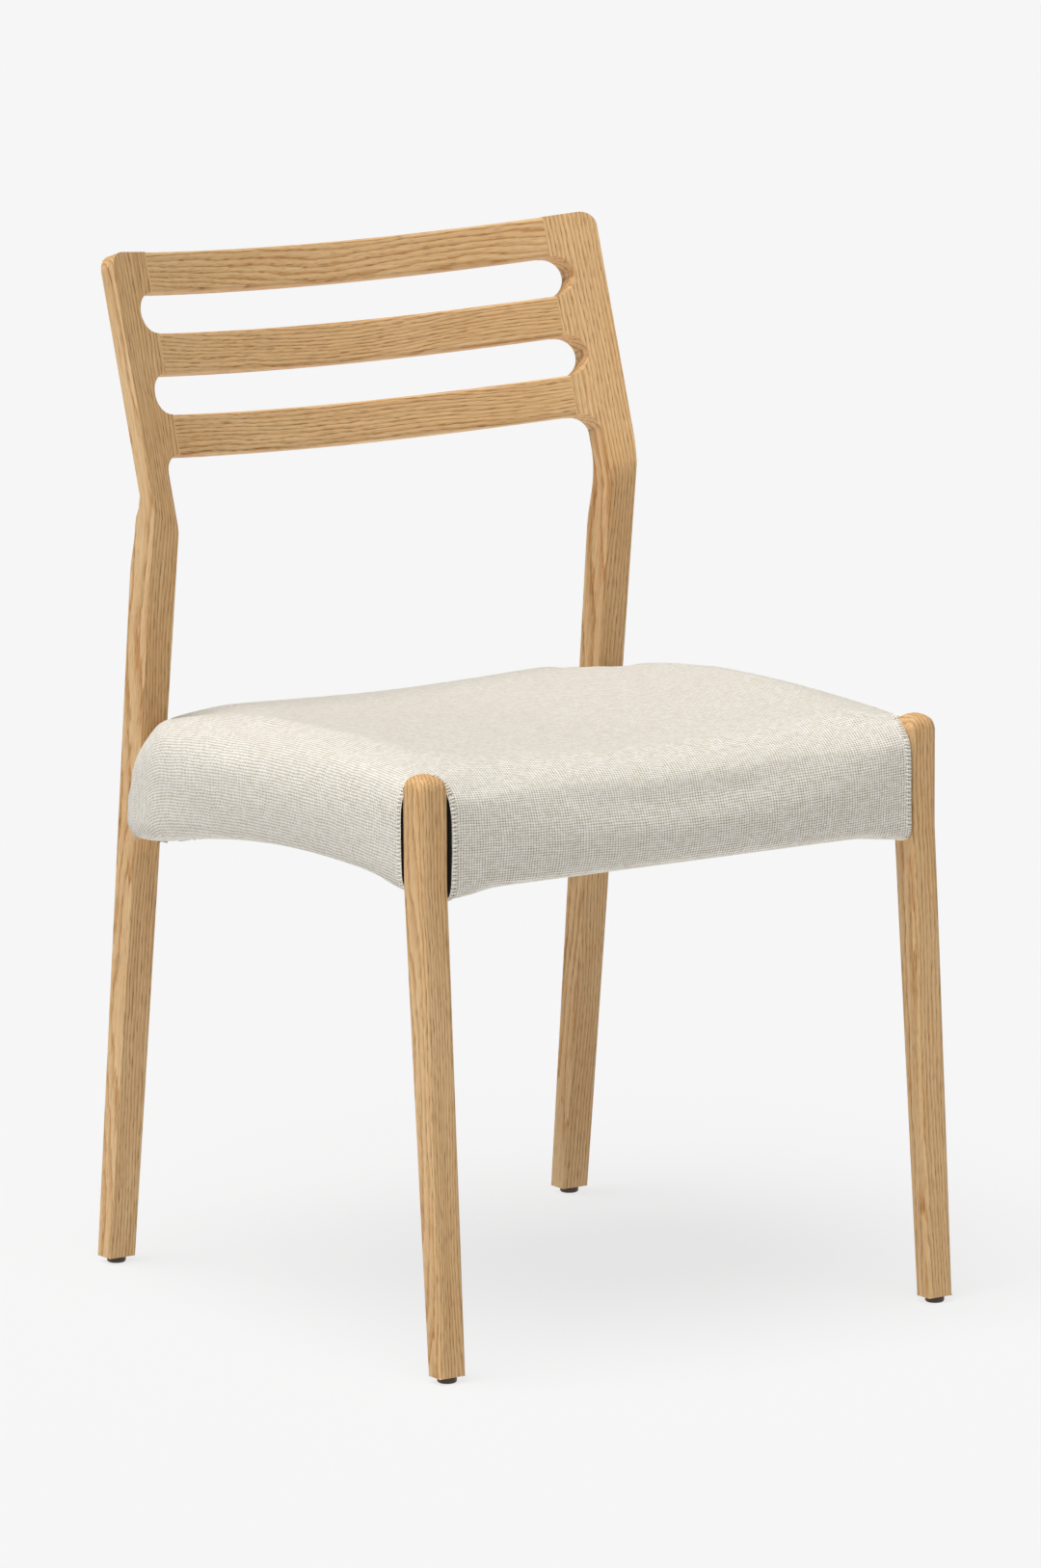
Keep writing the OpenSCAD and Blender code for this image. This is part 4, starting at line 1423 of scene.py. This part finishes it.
class CHAIR_OT_glides(bpy.types.Operator):
    """Models one round nylon glide and copies it under the four legs"""

    bl_idname = "chair.glides"
    bl_label = "Glides"
    bl_options = {"REGISTER", "UNDO"}

    def execute(self, context):
        nodes = [f"glide_{end}_{side}" for end in ("front", "rear") for side in ("left", "right")]
        low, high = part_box(nodes[0])
        nothing_selected()
        bpy.ops.mesh.primitive_cylinder_add(
            vertices=40, radius=(high.x - low.x) / 2, depth=high.z - low.z,
            location=(0, 0, (high.z + low.z) / 2),
        )
        first = new_piece("glide_cap")
        with editing(first, "FACE"):
            pick(first, "faces", lambda f: f.normal.z < -0.9)
            bpy.ops.mesh.bevel(offset=0.0018, segments=5, affect="EDGES")
            pick(first, "faces", lambda f: f.normal.z < -0.99 and len(f.verts) > 20)
            bpy.ops.mesh.inset(thickness=0.0035, depth=0)
            bpy.ops.mesh.inset(thickness=0.0005, depth=-0.0006)
            pick(first, "faces", lambda f: f.normal.z > 0.99 and len(f.verts) > 20)
            bpy.ops.mesh.bevel(offset=0.0004, segments=2, affect="EDGES")
        for node in nodes:
            piece = copy_of(first, node + "_cap")
            at = middle(node)
            piece.location = (at.x, at.y, 0)
            bpy.ops.object.transform_apply(location=True, rotation=False, scale=False)
            face_outwards(piece)
            smooth_surfaces(piece, 50)
            paint(piece, glide_nylon())
            seated(piece, "glide", node)
        bpy.data.objects.remove(first)
        return {"FINISHED"}


class CHAIR_OT_inner_frame(bpy.types.Operator):
    """Gives the frame's hidden wood and steel their materials; their shapes are right as they are"""

    bl_idname = "chair.inner_frame"
    bl_label = "Rails, blocks and fasteners"
    bl_options = {"REGISTER", "UNDO"}

    def execute(self, context):
        sideways, lengthways = beech_sawn("beech_sawn_across", 0), beech_sawn("beech_sawn_along", 1)
        finishes = {
            "front_rail": sideways,
            "rear_rail": sideways,
            "slat_dowels": sideways,
            "rail_dowels": sideways,
            "side_rail": lengthways,
            "corner_block_screws": zinc_plated(),
            "corner_block": lengthways,
            "seat_panel": birch_plywood(),
            "seat_screws": zinc_plated(),
            "cover_staples": zinc_plated(),
            "glide_nails": zinc_plated(),
        }
        for name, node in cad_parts.items():
            found = next((finishes[k] for k in finishes if name.startswith(k)), None)
            if found:
                for slot in node.material_slots:
                    slot.material = found
        return {"FINISHED"}


# ---- The stage ----


class CHAIR_OT_stage(bpy.types.Operator):
    """Sets the pale floor, the soft light and the camera"""

    bl_idname = "chair.stage"
    bl_label = "Floor, light and camera"
    bl_options = {"REGISTER", "UNDO"}

    def execute(self, context):
        settings = context.scene.chair_stage
        self.floor(settings)
        self.light(context, settings)
        self.camera(context, settings)
        context.scene.view_settings.view_transform = "Standard"
        return {"FINISHED"}

    def floor(self, settings):
        nothing_selected()
        bpy.ops.mesh.primitive_plane_add(size=600, location=(0, 0, 0))
        floor = new_piece("studio_floor")
        material, _, shader = blank_material("studio_floor_lit_from_below", 0.9)
        # Opal acrylic over lamps: it glows far more than it reflects, so that shadows stay faint
        shader.inputs["Base Color"].default_value = [c * 0.15 for c in linear(settings.floor)[:3]] + [1]
        shader.inputs["Emission Color"].default_value = linear(settings.floor)
        shader.inputs["Emission Strength"].default_value = 0.84
        shader.inputs["Specular IOR Level"].default_value = 0.0
        paint(floor, material)

    def light(self, context, settings):
        world = bpy.data.worlds.new("studio")
        context.scene.world = world
        world.use_nodes = True
        backdrop = world.node_tree.nodes["Background"]
        backdrop.inputs[0].default_value = linear("#F8F8F6")
        backdrop.inputs[1].default_value = settings.sky
        towards = Vector((-0.30, -0.07, 0.95))
        bpy.ops.object.light_add(type="SUN", location=towards * 3)
        lamp = context.object
        lamp.name = "softbox_above"
        lamp.rotation_euler = towards.to_track_quat("Z", "Y").to_euler()
        lamp.data.energy = settings.key
        lamp.data.angle = math.radians(50)

    def camera(self, context, settings):
        a, e = settings.azimuth, settings.elevation
        back = Vector((math.sin(a) * math.cos(e), -math.cos(a) * math.cos(e), math.sin(e)))
        right = Vector((math.cos(a), math.sin(a), 0))
        aim = place(0, 0, 396.25) + right * 2.409 * MM
        bpy.ops.object.camera_add(location=aim + back * settings.distance)
        camera = context.object
        camera.rotation_euler = back.to_track_quat("Z", "Y").to_euler()
        camera.data.lens = settings.lens
        camera.data.sensor_width = 36
        camera.data.clip_end = 1000
        context.scene.camera = camera


STEPS = (
    CHAIR_OT_stage,
    CHAIR_OT_rear_legs,
    CHAIR_OT_front_legs,
    CHAIR_OT_slats,
    CHAIR_OT_seat,
    CHAIR_OT_lining,
    CHAIR_OT_glides,
    CHAIR_OT_inner_frame,
)


class CHAIR_PT_panel(bpy.types.Panel):
    """Lists the chair's pieces and their sizes"""

    bl_idname = "CHAIR_PT_panel"
    bl_label = "Oak dining chair"
    bl_space_type = "VIEW_3D"
    bl_region_type = "UI"
    bl_category = "Chair"

    def draw(self, context):
        for step in STEPS:
            self.layout.operator(step.bl_idname)
        for group in GROUPS:
            box = self.layout.box()
            settings = getattr(context.scene, group)
            for name in settings.__annotations__:
                box.prop(settings, name)


def register():
    for group, kind in GROUPS.items():
        bpy.utils.register_class(kind)
        setattr(bpy.types.Scene, group, PointerProperty(type=kind))
    for kind in (*STEPS, CHAIR_PT_panel):
        bpy.utils.register_class(kind)


def unregister():
    for kind in (CHAIR_PT_panel, *reversed(STEPS)):
        bpy.utils.unregister_class(kind)
    for group, kind in GROUPS.items():
        delattr(bpy.types.Scene, group)
        bpy.utils.unregister_class(kind)


def main():
    register()
    for step in STEPS:
        area, name = step.bl_idname.split(".")
        getattr(getattr(bpy.ops, area), name)()


if __name__ == "__main__":
    main()
